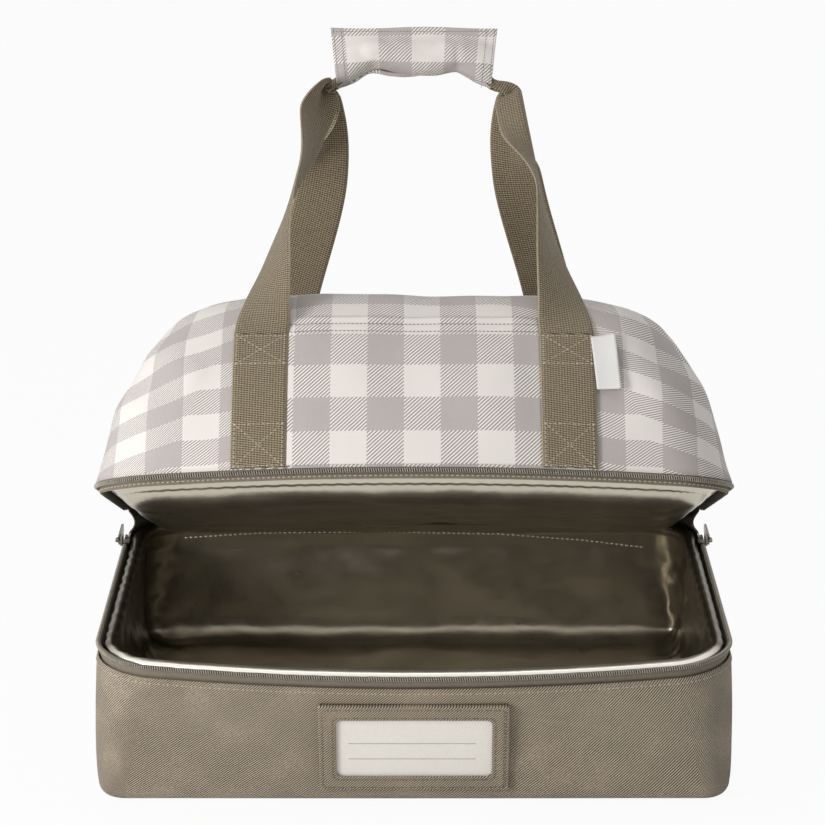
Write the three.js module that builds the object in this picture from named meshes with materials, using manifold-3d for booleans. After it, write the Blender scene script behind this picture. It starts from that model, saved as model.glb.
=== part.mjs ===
// Insulated two-deck casserole carrier: a soft cloth tub with a zipped mouth, and a domed upper bag that
// is its lid. The upper bag tips back on a cloth hinge along the rear, and two webbing loops, held
// together by a wrap-round grip, carry it. X runs left to right, Y front to back and Z up, in
// millimetres, with the origin on the floor under the middle of the tub.

import * as THREE from "three";
import { mergeVertices } from "three/addons/utils/BufferGeometryUtils.js";
import Module from "manifold-3d";

const wasm = await Module();
wasm.setup();

// Overall sizes
const CARRIER_WIDTH = 410;
const CARRIER_DEPTH = 278;
const CORNER_RADIUS = 40; // at the rim
const BASE_CORNER_RADIUS = 17; // at the foot of the tub
const PARTING_HEIGHT = 101; // floor to the line where the two halves of the zip meet
const LID_HEIGHT = 132; // parting line to the flat top of the upper bag
const LID_OPEN_DEG = 23; // how far the upper bag is tipped back

// How the soft walls stand: the tub's front rim bows out and dips, the bag's front edge bows out and lifts
const FRONT_BULGE = 24;
const FRONT_DIP = 6.5;
const LID_BULGE = 16;
const LID_ARCH = 6.5;

// Layers of the walls and floors, from the outside in
const CLOTH = 1.2;
const FOAM = 4;
const LINING = 0.8;
const BOARD = 2.5;
const LAYER_GAP = 0.3;
const LIP_CLEARANCE = 1; // between the lining's turned-out lip and the zip chain

// Zip: a tape with half of a coil chain along its edge, on each side of the parting line
const TAPE_THICKNESS = 0.8;
const TAPE_WIDTH = 14;
const CHAIN_WIDTH = 2.6;
const CHAIN_THICKNESS = 2;
const CHAIN_HALF_GAP = 1.2; // parting line to the nearer edge of each chain
const HINGE_HALF_GAP = 0.15; // parting line to each half of the cloth hinge
const TUB_TAPE_SHOWN = 6; // bare tape between the chain and the tub's cloth
const LID_TAPE_SHOWN = 1.2;

// Rounded bottom seam of the tub
const SEAM_ROUND = 10;
const SEAM_INSET = 8; // how far the wall has come in where it meets the floor

// Profile of the upper bag: how far its side and front have come in at the top of the shoulder
const SIDE_LEAN = 22;
const SIDE_SHOULDER = 38;
const SIDE_TOP_INSET = 98;
const FRONT_LEAN = 9;
const FRONT_SHOULDER = 26;
const FRONT_TOP_INSET = 78;
const LEAN_HEIGHT = 74; // height to which the walls lean before the shoulder turns in
const TOP_CORNER_RADIUS = 50;

// Padded floor of the upper bag, which sags into the tub's mouth when shut
const FLOOR_SAG = 15;
const SAG_SHAPE = [
  [16, 0.86], // distance in from the pad's edge, and the share of the sag there
  [4.8, 0.5],
];

// Zip along the ridge of the upper bag, from one end over the top to the other
const RIDGE_SLOT = 13;
const RIDGE_TAPE_WIDTH = 5;
const RIDGE_END_HEIGHT = 38;

// Webbing
const WEBBING_WIDTH = 35;
const WEBBING_THICKNESS = 1.8;
const STRAP_SPACING = 196; // between the middles of the left and right straps
const STRAP_ROOT_HEIGHT = 97; // where the loop leaves the bag, above the parting line
const LOOP_RISE = 211; // root to the run inside the grip, square to the bag's floor
const LOOP_LEAVE = 0.2; // how closely a loop keeps to the bag's slope as it leaves
const LOOP_SQUARE = 0.3; // by this share of a leg the webbing's section is square to its run
const LOOP_DIP = 13; // each loop comes down this far between the grip and its legs
const FOLD_DEG = 78; // each half of the webbing folds down this far inside the grip
const CREASE_LIMIT = 0.4; // keeps the folded crease from growing to a spike
const FRONT_TURN = [0, 0.55]; // shares of a front leg's length between which it turns edge-on
const FRONT_FOLD = [0.4, 0.92]; // and between which it folds along its middle
const REAR_TURN = [0.45, 0.92];
const REAR_FOLD = [0.55, 0.92];
const REAR_LEAN = 18; // the rear legs run this much nearer the middle on their way up

// Grip: a pad folded up round both runs, with hook-and-loop along its top edges
const GRIP_LENGTH = 115;
const GRIP_HEIGHT = 42;
const GRIP_PAD = 2.6;
const GRIP_CLEARANCE = 1.2; // between the webbing and the pad
const FASTENER_THICKNESS = 1;
const FASTENER_WIDTH = 9;

// Name-card pocket on the tub's front
const POCKET_WIDTH = 121;
const POCKET_HEIGHT = 66;
const POCKET_FOOT = 12.5; // floor to the pocket's lower edge, up the wall
const WINDOW_WIDTH = 99;
const WINDOW_HEIGHT = 43;
const WINDOW_RADIUS = 4;
const WINDOW_LAP = 3; // how far the clear sheet and the card reach past the window
const CARD_THICKNESS = 0.4;
const VINYL_THICKNESS = 0.4;
const POCKET_HEM = 4;

// Slip pocket between the front straps, open along its top
const FRONT_POCKET_HEIGHT = 108; // above the parting line
const FRONT_POCKET_GAP = 3; // between its sides and the straps

// Woven side tag, bare
const TAG_WIDTH = 14;
const TAG_HEIGHT = 35;
const TAG_THICKNESS = 0.8;
const TAG_MIDDLE_HEIGHT = 79;

// Zip sliders and their pulls
const SLIDER_LENGTH = 13;
const SLIDER_PLATE = 1.3;
const SLIDER_CLEARANCE = 0.4;
const SLIDER_TAIL_WIDTH = 5.4;
const BAIL_LENGTH = 8;
const BAIL_WIRE = 1.4;
const BAIL_RISE = 2.4;
const PULL_LENGTH = 27;
const PULL_WIDTH = 7;
const PULL_THICKNESS = 1.4;
const PULL_BAR = 1.4;
const SLIDER_PARK = 14; // parked slider to the end of the straight side run

// Steps round the outline and along the curves
const SIDE_STEPS = 2;
const FRONT_STEPS = 10;
const REAR_STEPS = 2;
const CORNER_STEPS = 4;
const DOME_STEPS = 8;
const LOOP_STEPS = 20;

const HALF_WIDTH = CARRIER_WIDTH / 2;
const HALF_DEPTH = CARRIER_DEPTH / 2;
const LID_OPEN = THREE.MathUtils.degToRad(LID_OPEN_DEG);

// Depths of the layers under the outer face of the wall
const TAPE_INSET = CLOTH + LAYER_GAP;
const CHAIN_INSET = TAPE_INSET - LAYER_GAP - CHAIN_THICKNESS;
const FOAM_INSET = CLOTH + LAYER_GAP;
const LINING_INSET = FOAM_INSET + FOAM + LAYER_GAP;
const INNER_INSET = LINING_INSET + LINING;
const HINGE_Y = HALF_DEPTH - TAPE_INSET; // the cloth hinge bends at the outer face of its strip

const MATERIALS = {
  taupe: cloth(0x8a7c6a),
  check: cloth(0xd8d0ca),
  webbing: cloth(0x7a6d57),
  foam: cloth(0xe8e6e0),
  lining: new THREE.MeshStandardMaterial({ color: 0x9a9384, roughness: 0.35, metalness: 0.2 }),
  board: new THREE.MeshStandardMaterial({ color: 0x3a3a3a, roughness: 0.7, metalness: 0 }),
  tape: cloth(0x857964),
  chain: new THREE.MeshStandardMaterial({ color: 0x6b675f, roughness: 0.4, metalness: 0.1 }),
  slider: new THREE.MeshStandardMaterial({ color: 0x55524d, roughness: 0.35, metalness: 0.8 }),
  card: new THREE.MeshStandardMaterial({ color: 0xf0e9e4, roughness: 0.6, metalness: 0 }),
  vinyl: new THREE.MeshStandardMaterial({
    color: 0xf4f4f4,
    roughness: 0.1,
    transparent: true,
    opacity: 0.3,
  }),
  fastener: cloth(0x6f6353),
  tag: cloth(0xf2f1ee),
};

function cloth(color) {
  return new THREE.MeshStandardMaterial({ color, roughness: 0.9, metalness: 0 });
}

// Solids

// A closed skin over a row of rings with the same number of points, each four-sided face split along its
// shorter diagonal. The rings form a loop, or the first and last are closed by fans from their middles, or
// by rungs across where the rings are sections of a bent strip.
function loft(rings, loop = false, rungs = false) {
  const count = rings[0].length;
  const points = rings.flat();
  const faces = [];
  const last = loop ? rings.length : rings.length - 1;
  for (let i = 0; i < last; i++) {
    const here = i * count;
    const next = ((i + 1) % rings.length) * count;
    for (let j = 0; j < count; j++) {
      const [a, b] = [here + j, here + ((j + 1) % count)];
      const [d, c] = [next + j, next + ((j + 1) % count)];
      const straight = points[a].distanceTo(points[c]) < points[b].distanceTo(points[d]);
      faces.push(...(straight ? [a, b, c, a, c, d] : [a, b, d, b, c, d]));
    }
  }
  if (!loop) {
    for (const end of [0, rings.length - 1]) {
      if (rungs) {
        const at = (j) => end * count + ((j + count) % count);
        for (let j = 1; j < count / 2; j++) {
          const [a, b, c, d] = [at(1 - j), at(j), at(j + 1), at(-j)];
          faces.push(...(end ? [a, b, c, a, c, d] : [a, c, b, a, d, c]));
        }
        continue;
      }
      const middle = new THREE.Vector3();
      rings[end].forEach((p) => middle.addScaledVector(p, 1 / count));
      points.push(middle);
      for (let j = 0; j < count; j++) {
        const a = end * count + j;
        const b = end * count + ((j + 1) % count);
        faces.push(points.length - 1, ...(end ? [a, b] : [b, a]));
      }
    }
  }
  const geometry = new THREE.BufferGeometry().setFromPoints(points);
  geometry.setIndex(faces);
  geometry.computeVertexNormals();
  return geometry;
}

function solid(geometry) {
  const bare = geometry.index ? geometry.toNonIndexed() : geometry.clone();
  bare.deleteAttribute("normal");
  bare.deleteAttribute("uv");
  const merged = mergeVertices(bare, 1e-4);
  return new wasm.Manifold(
    new wasm.Mesh({
      numProp: 3,
      vertProperties: merged.attributes.position.array,
      triVerts: new Uint32Array(merged.index.array),
    }),
  );
}

function geometryOf(made) {
  const mesh = made.getMesh();
  const geometry = new THREE.BufferGeometry();
  geometry.setAttribute("position", new THREE.BufferAttribute(mesh.vertProperties, 3));
  geometry.setIndex(new THREE.BufferAttribute(mesh.triVerts, 1));
  geometry.computeVertexNormals();
  return geometry;
}

function cut(geometry, ...tools) {
  return geometryOf(tools.reduce((made, tool) => made.subtract(solid(tool)), solid(geometry)));
}

function join(...geometries) {
  return geometryOf(geometries.map(solid).reduce((a, b) => a.add(b)));
}

function box(x0, x1, y0, y1, z0, z1) {
  const geometry = new THREE.BoxGeometry(x1 - x0, y1 - y0, z1 - z0);
  return geometry.translate((x0 + x1) / 2, (y0 + y1) / 2, (z0 + z1) / 2);
}

function extrude(shape, depth) {
  return new THREE.ExtrudeGeometry(shape, { depth, bevelEnabled: false, curveSegments: CORNER_STEPS });
}

function roundedRectangle(width, height, radius, path = new THREE.Shape()) {
  const [x, y] = [width / 2, height / 2];
  path.moveTo(-x + radius, -y);
  path.lineTo(x - radius, -y);
  path.absarc(x - radius, -y + radius, radius, -Math.PI / 2, 0);
  path.lineTo(x, y - radius);
  path.absarc(x - radius, y - radius, radius, 0, Math.PI / 2);
  path.lineTo(-x + radius, y);
  path.absarc(-x + radius, y - radius, radius, Math.PI / 2, Math.PI);
  path.lineTo(-x, -y + radius);
  path.absarc(-x + radius, -y + radius, radius, Math.PI, 1.5 * Math.PI);
  return path;
}

function part(name, geometry, material) {
  const mesh = new THREE.Mesh(geometry, material);
  mesh.name = name;
  return mesh;
}

// Outline seen from above

// A rounded rectangle, from the left rear corner along the left side, the front and the right side to the
// right rear corner, and then along the rear.
function outline(insetX, insetY = insetX, radius = CORNER_RADIUS - insetX) {
  const w = HALF_WIDTH - insetX;
  const d = HALF_DEPTH - insetY;
  const r = Math.min(Math.max(radius, CLOTH), w, d);
  const points = [];
  const run = (x0, y0, x1, y1, steps) => {
    for (let i = 0; i < steps; i++) {
      const t = i / steps;
      points.push(new THREE.Vector2(x0 + (x1 - x0) * t, y0 + (y1 - y0) * t));
    }
  };
  const turn = (x, y, start) => {
    for (let i = 0; i < CORNER_STEPS; i++) {
      const a = start + (Math.PI / 2) * (i / CORNER_STEPS);
      points.push(new THREE.Vector2(x + r * Math.cos(a), y + r * Math.sin(a)));
    }
  };
  run(-w, d - r, -w, r - d, SIDE_STEPS);
  turn(r - w, r - d, Math.PI);
  run(r - w, -d, w - r, -d, FRONT_STEPS);
  turn(w - r, r - d, 1.5 * Math.PI);
  run(w, r - d, w, d - r, SIDE_STEPS);
  turn(w - r, d - r, 0);
  run(w - r, d, r - w, d, REAR_STEPS);
  turn(r - w, d - r, Math.PI / 2);
  return points;
}

// The zipped stretch of the outline is its left side, front and right side; the hinge takes the rest.
const ZIP_POINTS = 2 * SIDE_STEPS + 2 * CORNER_STEPS + FRONT_STEPS + 1;
const ALL_POINTS = outline(0).length;
const ZIP_STRETCH = Array.from({ length: ZIP_POINTS }, (_, i) => i);
const HINGE_POINTS = ALL_POINTS - ZIP_POINTS + 2;
const HINGE_STRETCH = Array.from({ length: HINGE_POINTS }, (_, i) => (ZIP_POINTS - 1 + i) % ALL_POINTS);

// The tub's corners are tighter at its foot than at its rim; the bag's foot has the rim's radius.
function cornerRadius(place, z) {
  if (place !== slump) return CORNER_RADIUS;
  return BASE_CORNER_RADIUS + (CORNER_RADIUS - BASE_CORNER_RADIUS) * (z / PARTING_HEIGHT);
}

// Where a point of the tub stands once its front has slumped
function slump(x, y, z) {
  const across = Math.max(0, 1 - (x / HALF_WIDTH) ** 2);
  const forward = Math.max(0, -y / HALF_DEPTH);
  const up = z / PARTING_HEIGHT;
  return new THREE.Vector3(
    x,
    y - FRONT_BULGE * across * forward * up,
    z - FRONT_DIP * across * forward * up,
  );
}

// Where a point of the upper bag stands, measured from the hinge line, with its front edge bowed and lifted
function lift(x, y, z) {
  const across = Math.max(0, 1 - (x / HALF_WIDTH) ** 2);
  const forward = Math.max(0, -y / HALF_DEPTH);
  const low = Math.max(0, 1 - z / LID_HEIGHT);
  return new THREE.Vector3(
    x,
    y - HINGE_Y - LID_BULGE * across * forward * low,
    z + LID_ARCH * across * forward * low,
  );
}

// A band round the outline with the given section of [inset, height] corners, in counter-clockwise order.
// A corner may name another inset for the front and rear, and the outline's corner radius. A band along a
// stretch of the outline stops short of its ends, where the next piece begins.
function band(section, place, stretch = null) {
  const lines = section.map(([inset, z, insetY, radius]) =>
    outline(inset, insetY, radius ?? cornerRadius(place, z) - inset),
  );
  const steps = stretch ?? Array.from({ length: ALL_POINTS }, (_, i) => i);
  const rings = steps.map((j) => section.map(([, z], k) => place(lines[k][j].x, lines[k][j].y, z)));
  if (stretch) {
    for (const [end, next] of [[rings[0], rings[1]], [rings.at(-1), rings.at(-2)]]) {
      end.forEach((p, k) => p.addScaledVector(next[k].clone().sub(p).normalize(), LAYER_GAP / 2));
    }
  }
  return loft(rings, !stretch, true);
}

// A tray: rings of [inset, height] that start at the middle of its outer floor and end in its inner one
function tray(levels, place) {
  return loft(
    levels.map(([inset, z]) => {
      const line = outline(inset, inset, cornerRadius(place, z) - inset);
      return line.map((p) => place(p.x, p.y, z));
    }),
  );
}

function rectangleSection(inset, thickness, low, high) {
  return [
    [inset, low],
    [inset + thickness, low],
    [inset + thickness, high],
    [inset, high],
  ];
}

// Tub

const TUB_CLOTH_TOP = PARTING_HEIGHT - CHAIN_HALF_GAP - CHAIN_WIDTH - TUB_TAPE_SHOWN;
const TUB_TAPE_FOOT = PARTING_HEIGHT - CHAIN_HALF_GAP - TAPE_WIDTH;
const TUB_FOAM_TOP = TUB_TAPE_FOOT - LAYER_GAP;
const BOARD_FOOT = CLOTH + LAYER_GAP;
const FLOOR_FOAM_FOOT = BOARD_FOOT + BOARD + LAYER_GAP;
const LINING_FLOOR = FLOOR_FOAM_FOOT + FOAM + LAYER_GAP;
const LINING_LIP = PARTING_HEIGHT - CHAIN_HALF_GAP - CHAIN_WIDTH - LINING - LIP_CLEARANCE;

function tubWallCloth() {
  const steps = 3;
  const outer = [];
  const inner = [];
  for (let i = 0; i <= steps; i++) {
    const a = (Math.PI / 2) * (i / steps);
    const inset = SEAM_INSET * (1 - Math.sin(a));
    const z = CLOTH + LAYER_GAP + (SEAM_ROUND - CLOTH) * (1 - Math.cos(a));
    outer.push([inset, z]);
    inner.push([inset + CLOTH * Math.sin(a) + LAYER_GAP * Math.cos(a), z + CLOTH * Math.cos(a)]);
  }
  for (const z of [TUB_FOAM_TOP, TUB_CLOTH_TOP]) {
    outer.push([0, z]);
    inner.push([CLOTH, z]);
  }
  return band([...inner, ...outer.reverse()], slump);
}

function floorSlab(inset, low, thickness) {
  return tray(
    [
      [inset, low],
      [inset, low + thickness],
    ],
    slump,
  );
}

function tubLining() {
  const lip = TAPE_INSET + TAPE_THICKNESS + LAYER_GAP;
  return tray(
    [
      [LINING_INSET + SEAM_ROUND, LINING_FLOOR],
      [LINING_INSET, LINING_FLOOR + SEAM_ROUND],
      [LINING_INSET, TUB_FOAM_TOP],
      [LINING_INSET, LINING_LIP],
      [lip, LINING_LIP],
      [lip, LINING_LIP + LINING],
      [INNER_INSET, LINING_LIP + LINING],
      [INNER_INSET, LINING_FLOOR + LINING + SEAM_ROUND],
      [INNER_INSET + SEAM_ROUND, LINING_FLOOR + LINING],
    ],
    slump,
  );
}

function addTub(group) {
  const wallFoot = SEAM_ROUND + 2 * LAYER_GAP;
  const chainFoot = PARTING_HEIGHT - CHAIN_HALF_GAP - CHAIN_WIDTH;
  const chainTop = PARTING_HEIGHT - CHAIN_HALF_GAP;
  const tapeSection = rectangleSection(TAPE_INSET, TAPE_THICKNESS, TUB_TAPE_FOOT, chainTop);
  const hingeTop = PARTING_HEIGHT - HINGE_HALF_GAP;
  const hingeSection = rectangleSection(TAPE_INSET, TAPE_THICKNESS, TUB_TAPE_FOOT, hingeTop);
  const chainSection = rectangleSection(CHAIN_INSET, CHAIN_THICKNESS, chainFoot, chainTop);
  const foamSection = rectangleSection(FOAM_INSET, FOAM, wallFoot, TUB_FOAM_TOP);
  const floorInset = SEAM_INSET + LAYER_GAP;
  group.add(
    part("tub_wall_cloth", tubWallCloth(), MATERIALS.taupe),
    part("tub_floor_cloth", floorSlab(floorInset, 0, CLOTH), MATERIALS.taupe),
    part("tub_floor_board", floorSlab(floorInset + CLOTH, BOARD_FOOT, BOARD), MATERIALS.board),
    part("tub_floor_foam", floorSlab(LINING_INSET + LAYER_GAP, FLOOR_FOAM_FOOT, FOAM), MATERIALS.foam),
    part("tub_wall_foam", band(foamSection, slump), MATERIALS.foam),
    part("tub_lining", tubLining(), MATERIALS.lining),
    part("tub_zip_tape", band(tapeSection, slump, ZIP_STRETCH), MATERIALS.tape),
    part("tub_zip_chain", band(chainSection, slump, ZIP_STRETCH), MATERIALS.chain),
    part("tub_hinge_strip", band(hingeSection, slump, HINGE_STRETCH), MATERIALS.tape),
  );
}

// Name-card pocket: a hemmed cloth frame over a clear window, open on its right for the card

function addPocket(group) {
  const rim = PARTING_HEIGHT - FRONT_DIP;
  const lean = Math.atan2(FRONT_BULGE, rim);
  const middle = POCKET_FOOT + POCKET_HEIGHT / 2;
  const up = middle / rim;
  const pocket = new THREE.Group();
  pocket.position.set(0, -HALF_DEPTH - FRONT_BULGE * up, middle);
  pocket.rotation.x = lean;
  const cardFront = LAYER_GAP + CARD_THICKNESS;
  const vinylBack = cardFront + LAYER_GAP;
  const frameBack = vinylBack + VINYL_THICKNESS + LAYER_GAP;
  const plate = (shape, back, thickness) =>
    extrude(shape, thickness).rotateX(Math.PI / 2).translate(0, -back, 0);
  const lapWidth = WINDOW_WIDTH + 2 * WINDOW_LAP;
  const lapHeight = WINDOW_HEIGHT + 2 * WINDOW_LAP;
  const [x, z] = [POCKET_WIDTH / 2, POCKET_HEIGHT / 2];

  const face = new THREE.Shape();
  face.moveTo(-x, -z).lineTo(x, -z).lineTo(x, z).lineTo(-x, z);
  face.holes.push(roundedRectangle(WINDOW_WIDTH, WINDOW_HEIGHT, WINDOW_RADIUS, new THREE.Path()));
  const hem = new THREE.Shape();
  hem.moveTo(-x, -z).lineTo(x, -z).lineTo(x, POCKET_HEM - z).lineTo(POCKET_HEM - x, POCKET_HEM - z);
  hem.lineTo(POCKET_HEM - x, z - POCKET_HEM).lineTo(x, z - POCKET_HEM).lineTo(x, z).lineTo(-x, z);
  const hemDepth = frameBack - LAYER_GAP + CLOTH / 2;
  const frame = join(plate(face, frameBack, CLOTH), plate(hem, LAYER_GAP, hemDepth));
  const window = plate(roundedRectangle(lapWidth, lapHeight, WINDOW_RADIUS), vinylBack, VINYL_THICKNESS);
  const card = plate(roundedRectangle(lapWidth, lapHeight, WINDOW_LAP / 2), LAYER_GAP, CARD_THICKNESS);
  pocket.add(
    part("card_pocket_frame", frame, MATERIALS.taupe),
    part("card_pocket_window", window, MATERIALS.vinyl),
    part("name_card", card, MATERIALS.card),
  );
  group.add(pocket);
}

// Zip sliders: two plates either side of the tape, joined by the wedge that parts the chains. In the
// slider's own frame the chain runs along X and the outer face of the tape looks along Z.

const CHAIN_OUTER = CHAIN_THICKNESS + LAYER_GAP; // above the tape's outer face
const SLIDER_TOP = CHAIN_OUTER + SLIDER_CLEARANCE + SLIDER_PLATE;
const SLIDER_BACK = TAPE_THICKNESS + SLIDER_CLEARANCE + SLIDER_PLATE; // below the tape's outer face
const SLIDER_HALF_WIDTH = CHAIN_HALF_GAP + CHAIN_WIDTH - SLIDER_CLEARANCE;
const PIVOT_RISE = SLIDER_TOP + BAIL_RISE / 2;

function sliderBody() {
  const [x, tail] = [SLIDER_LENGTH / 2, SLIDER_TAIL_WIDTH / 2];
  const nose = x / 2;
  const plan = new THREE.Shape();
  plan.moveTo(-nose, -SLIDER_HALF_WIDTH).lineTo(x, -tail).lineTo(x, tail).lineTo(-nose, SLIDER_HALF_WIDTH);
  plan.quadraticCurveTo(-x, SLIDER_HALF_WIDTH, -x, 0);
  plan.quadraticCurveTo(-x, -SLIDER_HALF_WIDTH, -nose, -SLIDER_HALF_WIDTH);
  const outer = extrude(plan, SLIDER_PLATE).translate(0, 0, CHAIN_OUTER + SLIDER_CLEARANCE);
  const under = -SLIDER_BACK;
  const inner = extrude(plan, SLIDER_PLATE).translate(0, 0, under);
  const wedge = new THREE.Shape();
  const half = CHAIN_HALF_GAP - SLIDER_CLEARANCE;
  wedge.moveTo(-x, 0).lineTo(-nose, -half).lineTo(0, 0).lineTo(-nose, half);
  const post = extrude(wedge, SLIDER_TOP - under - SLIDER_PLATE).translate(0, 0, under + SLIDER_PLATE / 2);
  const bail = new THREE.Shape();
  const b = BAIL_LENGTH / 2;
  const foot = SLIDER_TOP - SLIDER_PLATE / 2;
  const crown = SLIDER_TOP + BAIL_RISE + BAIL_WIRE;
  bail.moveTo(-b, foot).lineTo(b, foot).lineTo(b, crown - BAIL_WIRE).lineTo(b - BAIL_WIRE, crown);
  bail.lineTo(BAIL_WIRE - b, crown).lineTo(-b, crown - BAIL_WIRE);
  const eye = new THREE.Path();
  eye.moveTo(BAIL_WIRE - b, SLIDER_TOP).lineTo(b - BAIL_WIRE, SLIDER_TOP);
  eye.lineTo(b - BAIL_WIRE, crown - BAIL_WIRE).lineTo(BAIL_WIRE - b, crown - BAIL_WIRE);
  bail.holes.push(eye);
  const arch = extrude(bail, BAIL_WIRE).rotateX(Math.PI / 2).translate(0, BAIL_WIRE / 2, 0);
  return join(outer, inner, post, arch);
}

// The pull lies along X from its bar, which turns in the bail.
function sliderPull() {
  const half = PULL_WIDTH / 2;
  const tip = PULL_LENGTH - half;
  const plan = new THREE.Shape();
  plan.moveTo(-PULL_BAR / 2, -half).lineTo(tip, -half);
  plan.absarc(tip, 0, half, -Math.PI / 2, Math.PI / 2);
  plan.lineTo(-PULL_BAR / 2, half);
  const slot = new THREE.Path();
  const side = half - PULL_BAR;
  const slotEnd = BAIL_LENGTH;
  slot.moveTo(PULL_BAR / 2, -side).lineTo(slotEnd, -side).lineTo(slotEnd, side).lineTo(PULL_BAR / 2, side);
  plan.holes.push(slot);
  return extrude(plan, PULL_THICKNESS).translate(0, 0, PIVOT_RISE - PULL_THICKNESS / 2);
}

function slider(name, position, along, outward) {
  const group = new THREE.Group();
  const across = new THREE.Vector3().crossVectors(outward, along);
  group.quaternion.setFromRotationMatrix(new THREE.Matrix4().makeBasis(along, across, outward));
  group.position.copy(position);
  group.add(part(`${name}_slider`, sliderBody(), MATERIALS.slider));
  group.add(part(`${name}_pull`, sliderPull(), MATERIALS.slider));
  return group;
}

function addSideSliders(group) {
  const rearward = new THREE.Vector3(0, 1, 0);
  const y = HALF_DEPTH - CORNER_RADIUS - SLIDER_PARK;
  const x = HALF_WIDTH - TAPE_INSET;
  for (const [name, side] of [["left_zip", -1], ["right_zip", 1]]) {
    const place = new THREE.Vector3(side * x, y, PARTING_HEIGHT);
    group.add(slider(name, place, rearward, new THREE.Vector3(side, 0, 0)));
  }
}

// Upper bag, in a frame on the hinge line, with its front towards -Y

const LID_CLOTH_FOOT = CHAIN_HALF_GAP + CHAIN_WIDTH + LID_TAPE_SHOWN;
const LID_TAPE_TOP = CHAIN_HALF_GAP + TAPE_WIDTH;
const RIDGE = -HINGE_Y;

// Profile of the wall from its foot to the flat top, as inset and height
function profile(lean, shoulder, topInset) {
  return new THREE.CubicBezierCurve(
    new THREE.Vector2(0, LID_CLOTH_FOOT),
    new THREE.Vector2(lean, LEAN_HEIGHT),
    new THREE.Vector2(shoulder, LID_HEIGHT),
    new THREE.Vector2(topInset, LID_HEIGHT),
  );
}

const SIDE_PROFILE = profile(SIDE_LEAN, SIDE_SHOULDER, SIDE_TOP_INSET);
const FRONT_PROFILE = profile(FRONT_LEAN, FRONT_SHOULDER, FRONT_TOP_INSET);

function domeRadius(t, depth) {
  return CORNER_RADIUS - depth + (TOP_CORNER_RADIUS - CORNER_RADIUS) * t;
}

// One ring of the dome at a share of the profile, for a layer at some depth under the outer face
function domeRing(t, depth) {
  const side = SIDE_PROFILE.getPoint(t);
  const front = FRONT_PROFILE.getPoint(t);
  const shrink = (LID_HEIGHT - depth - LID_CLOTH_FOOT) / (LID_HEIGHT - LID_CLOTH_FOOT);
  const z = LID_CLOTH_FOOT + (side.y - LID_CLOTH_FOOT) * shrink;
  const insetX = side.x + depth;
  const insetY = front.x + depth;
  return outline(insetX, insetY, domeRadius(t, depth)).map((p) => lift(p.x, p.y, z));
}

// Share of the profile at which the wall reaches a height
function shareAtHeight(height) {
  let [low, high] = [0, 1];
  while (high - low > 1e-6) {
    const t = (low + high) / 2;
    if (SIDE_PROFILE.getPoint(t).y < height) low = t;
    else high = t;
  }
  return (low + high) / 2;
}

// A domed shell between two depths, open below from its foot and slotted along the ridge for the zip
function domeShell(depth, thickness, foot, slot) {
  const start = shareAtHeight(foot);
  const shares = [start];
  for (let i = 1; i <= DOME_STEPS; i++) {
    if (i / DOME_STEPS > start + 0.25 / DOME_STEPS) shares.push(i / DOME_STEPS);
  }
  const inner = shares.map((t) => domeRing(t, depth + thickness)).reverse();
  const rings = [...inner, ...shares.map((t) => domeRing(t, depth))];
  const ends = 2 * HALF_WIDTH;
  const tool = box(-ends, ends, RIDGE - slot / 2, RIDGE + slot / 2, RIDGE_END_HEIGHT, 2 * LID_HEIGHT);
  return cut(loft(rings), tool);
}

function addBag(group) {
  const chainFoot = CHAIN_HALF_GAP;
  const chainTop = CHAIN_HALF_GAP + CHAIN_WIDTH;
  const tapeEdge = (inset, z) => {
    const t = shareAtHeight(z);
    const [side, front] = [SIDE_PROFILE.getPoint(t).x, FRONT_PROFILE.getPoint(t).x];
    return [inset + side, z, inset + front, domeRadius(t, inset)];
  };
  const tapeBack = TAPE_INSET + TAPE_THICKNESS;
  const tapeSection = (foot) => [
    [TAPE_INSET, foot],
    [tapeBack, foot],
    tapeEdge(tapeBack, LID_CLOTH_FOOT),
    tapeEdge(tapeBack, LID_TAPE_TOP),
    tapeEdge(TAPE_INSET, LID_TAPE_TOP),
    tapeEdge(TAPE_INSET, LID_CLOTH_FOOT),
  ];
  const chainSection = rectangleSection(CHAIN_INSET, CHAIN_THICKNESS, chainFoot, chainTop);
  const foamFoot = LID_TAPE_TOP + 2 * LAYER_GAP;
  const underSlot = RIDGE_SLOT + 2 * FOAM;
  group.add(
    part("bag_shell_cloth", domeShell(0, CLOTH, LID_CLOTH_FOOT, RIDGE_SLOT), MATERIALS.check),
    part("bag_foam", domeShell(FOAM_INSET, FOAM, foamFoot, underSlot), MATERIALS.foam),
    part("bag_lining", domeShell(LINING_INSET, LINING, foamFoot, underSlot), MATERIALS.lining),
    part("bag_zip_tape", band(tapeSection(chainFoot), lift, ZIP_STRETCH), MATERIALS.tape),
    part("bag_zip_chain", band(chainSection, lift, ZIP_STRETCH), MATERIALS.chain),
    part("bag_hinge_strip", band(tapeSection(HINGE_HALF_GAP), lift, HINGE_STRETCH), MATERIALS.tape),
  );
}

// Padded floor of the bag: a lining that sags below the parting line, foam, a board and a lining over it.
// The lining's rim keeps clear of the sliders' inner plates when the bag is zipped shut.

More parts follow.
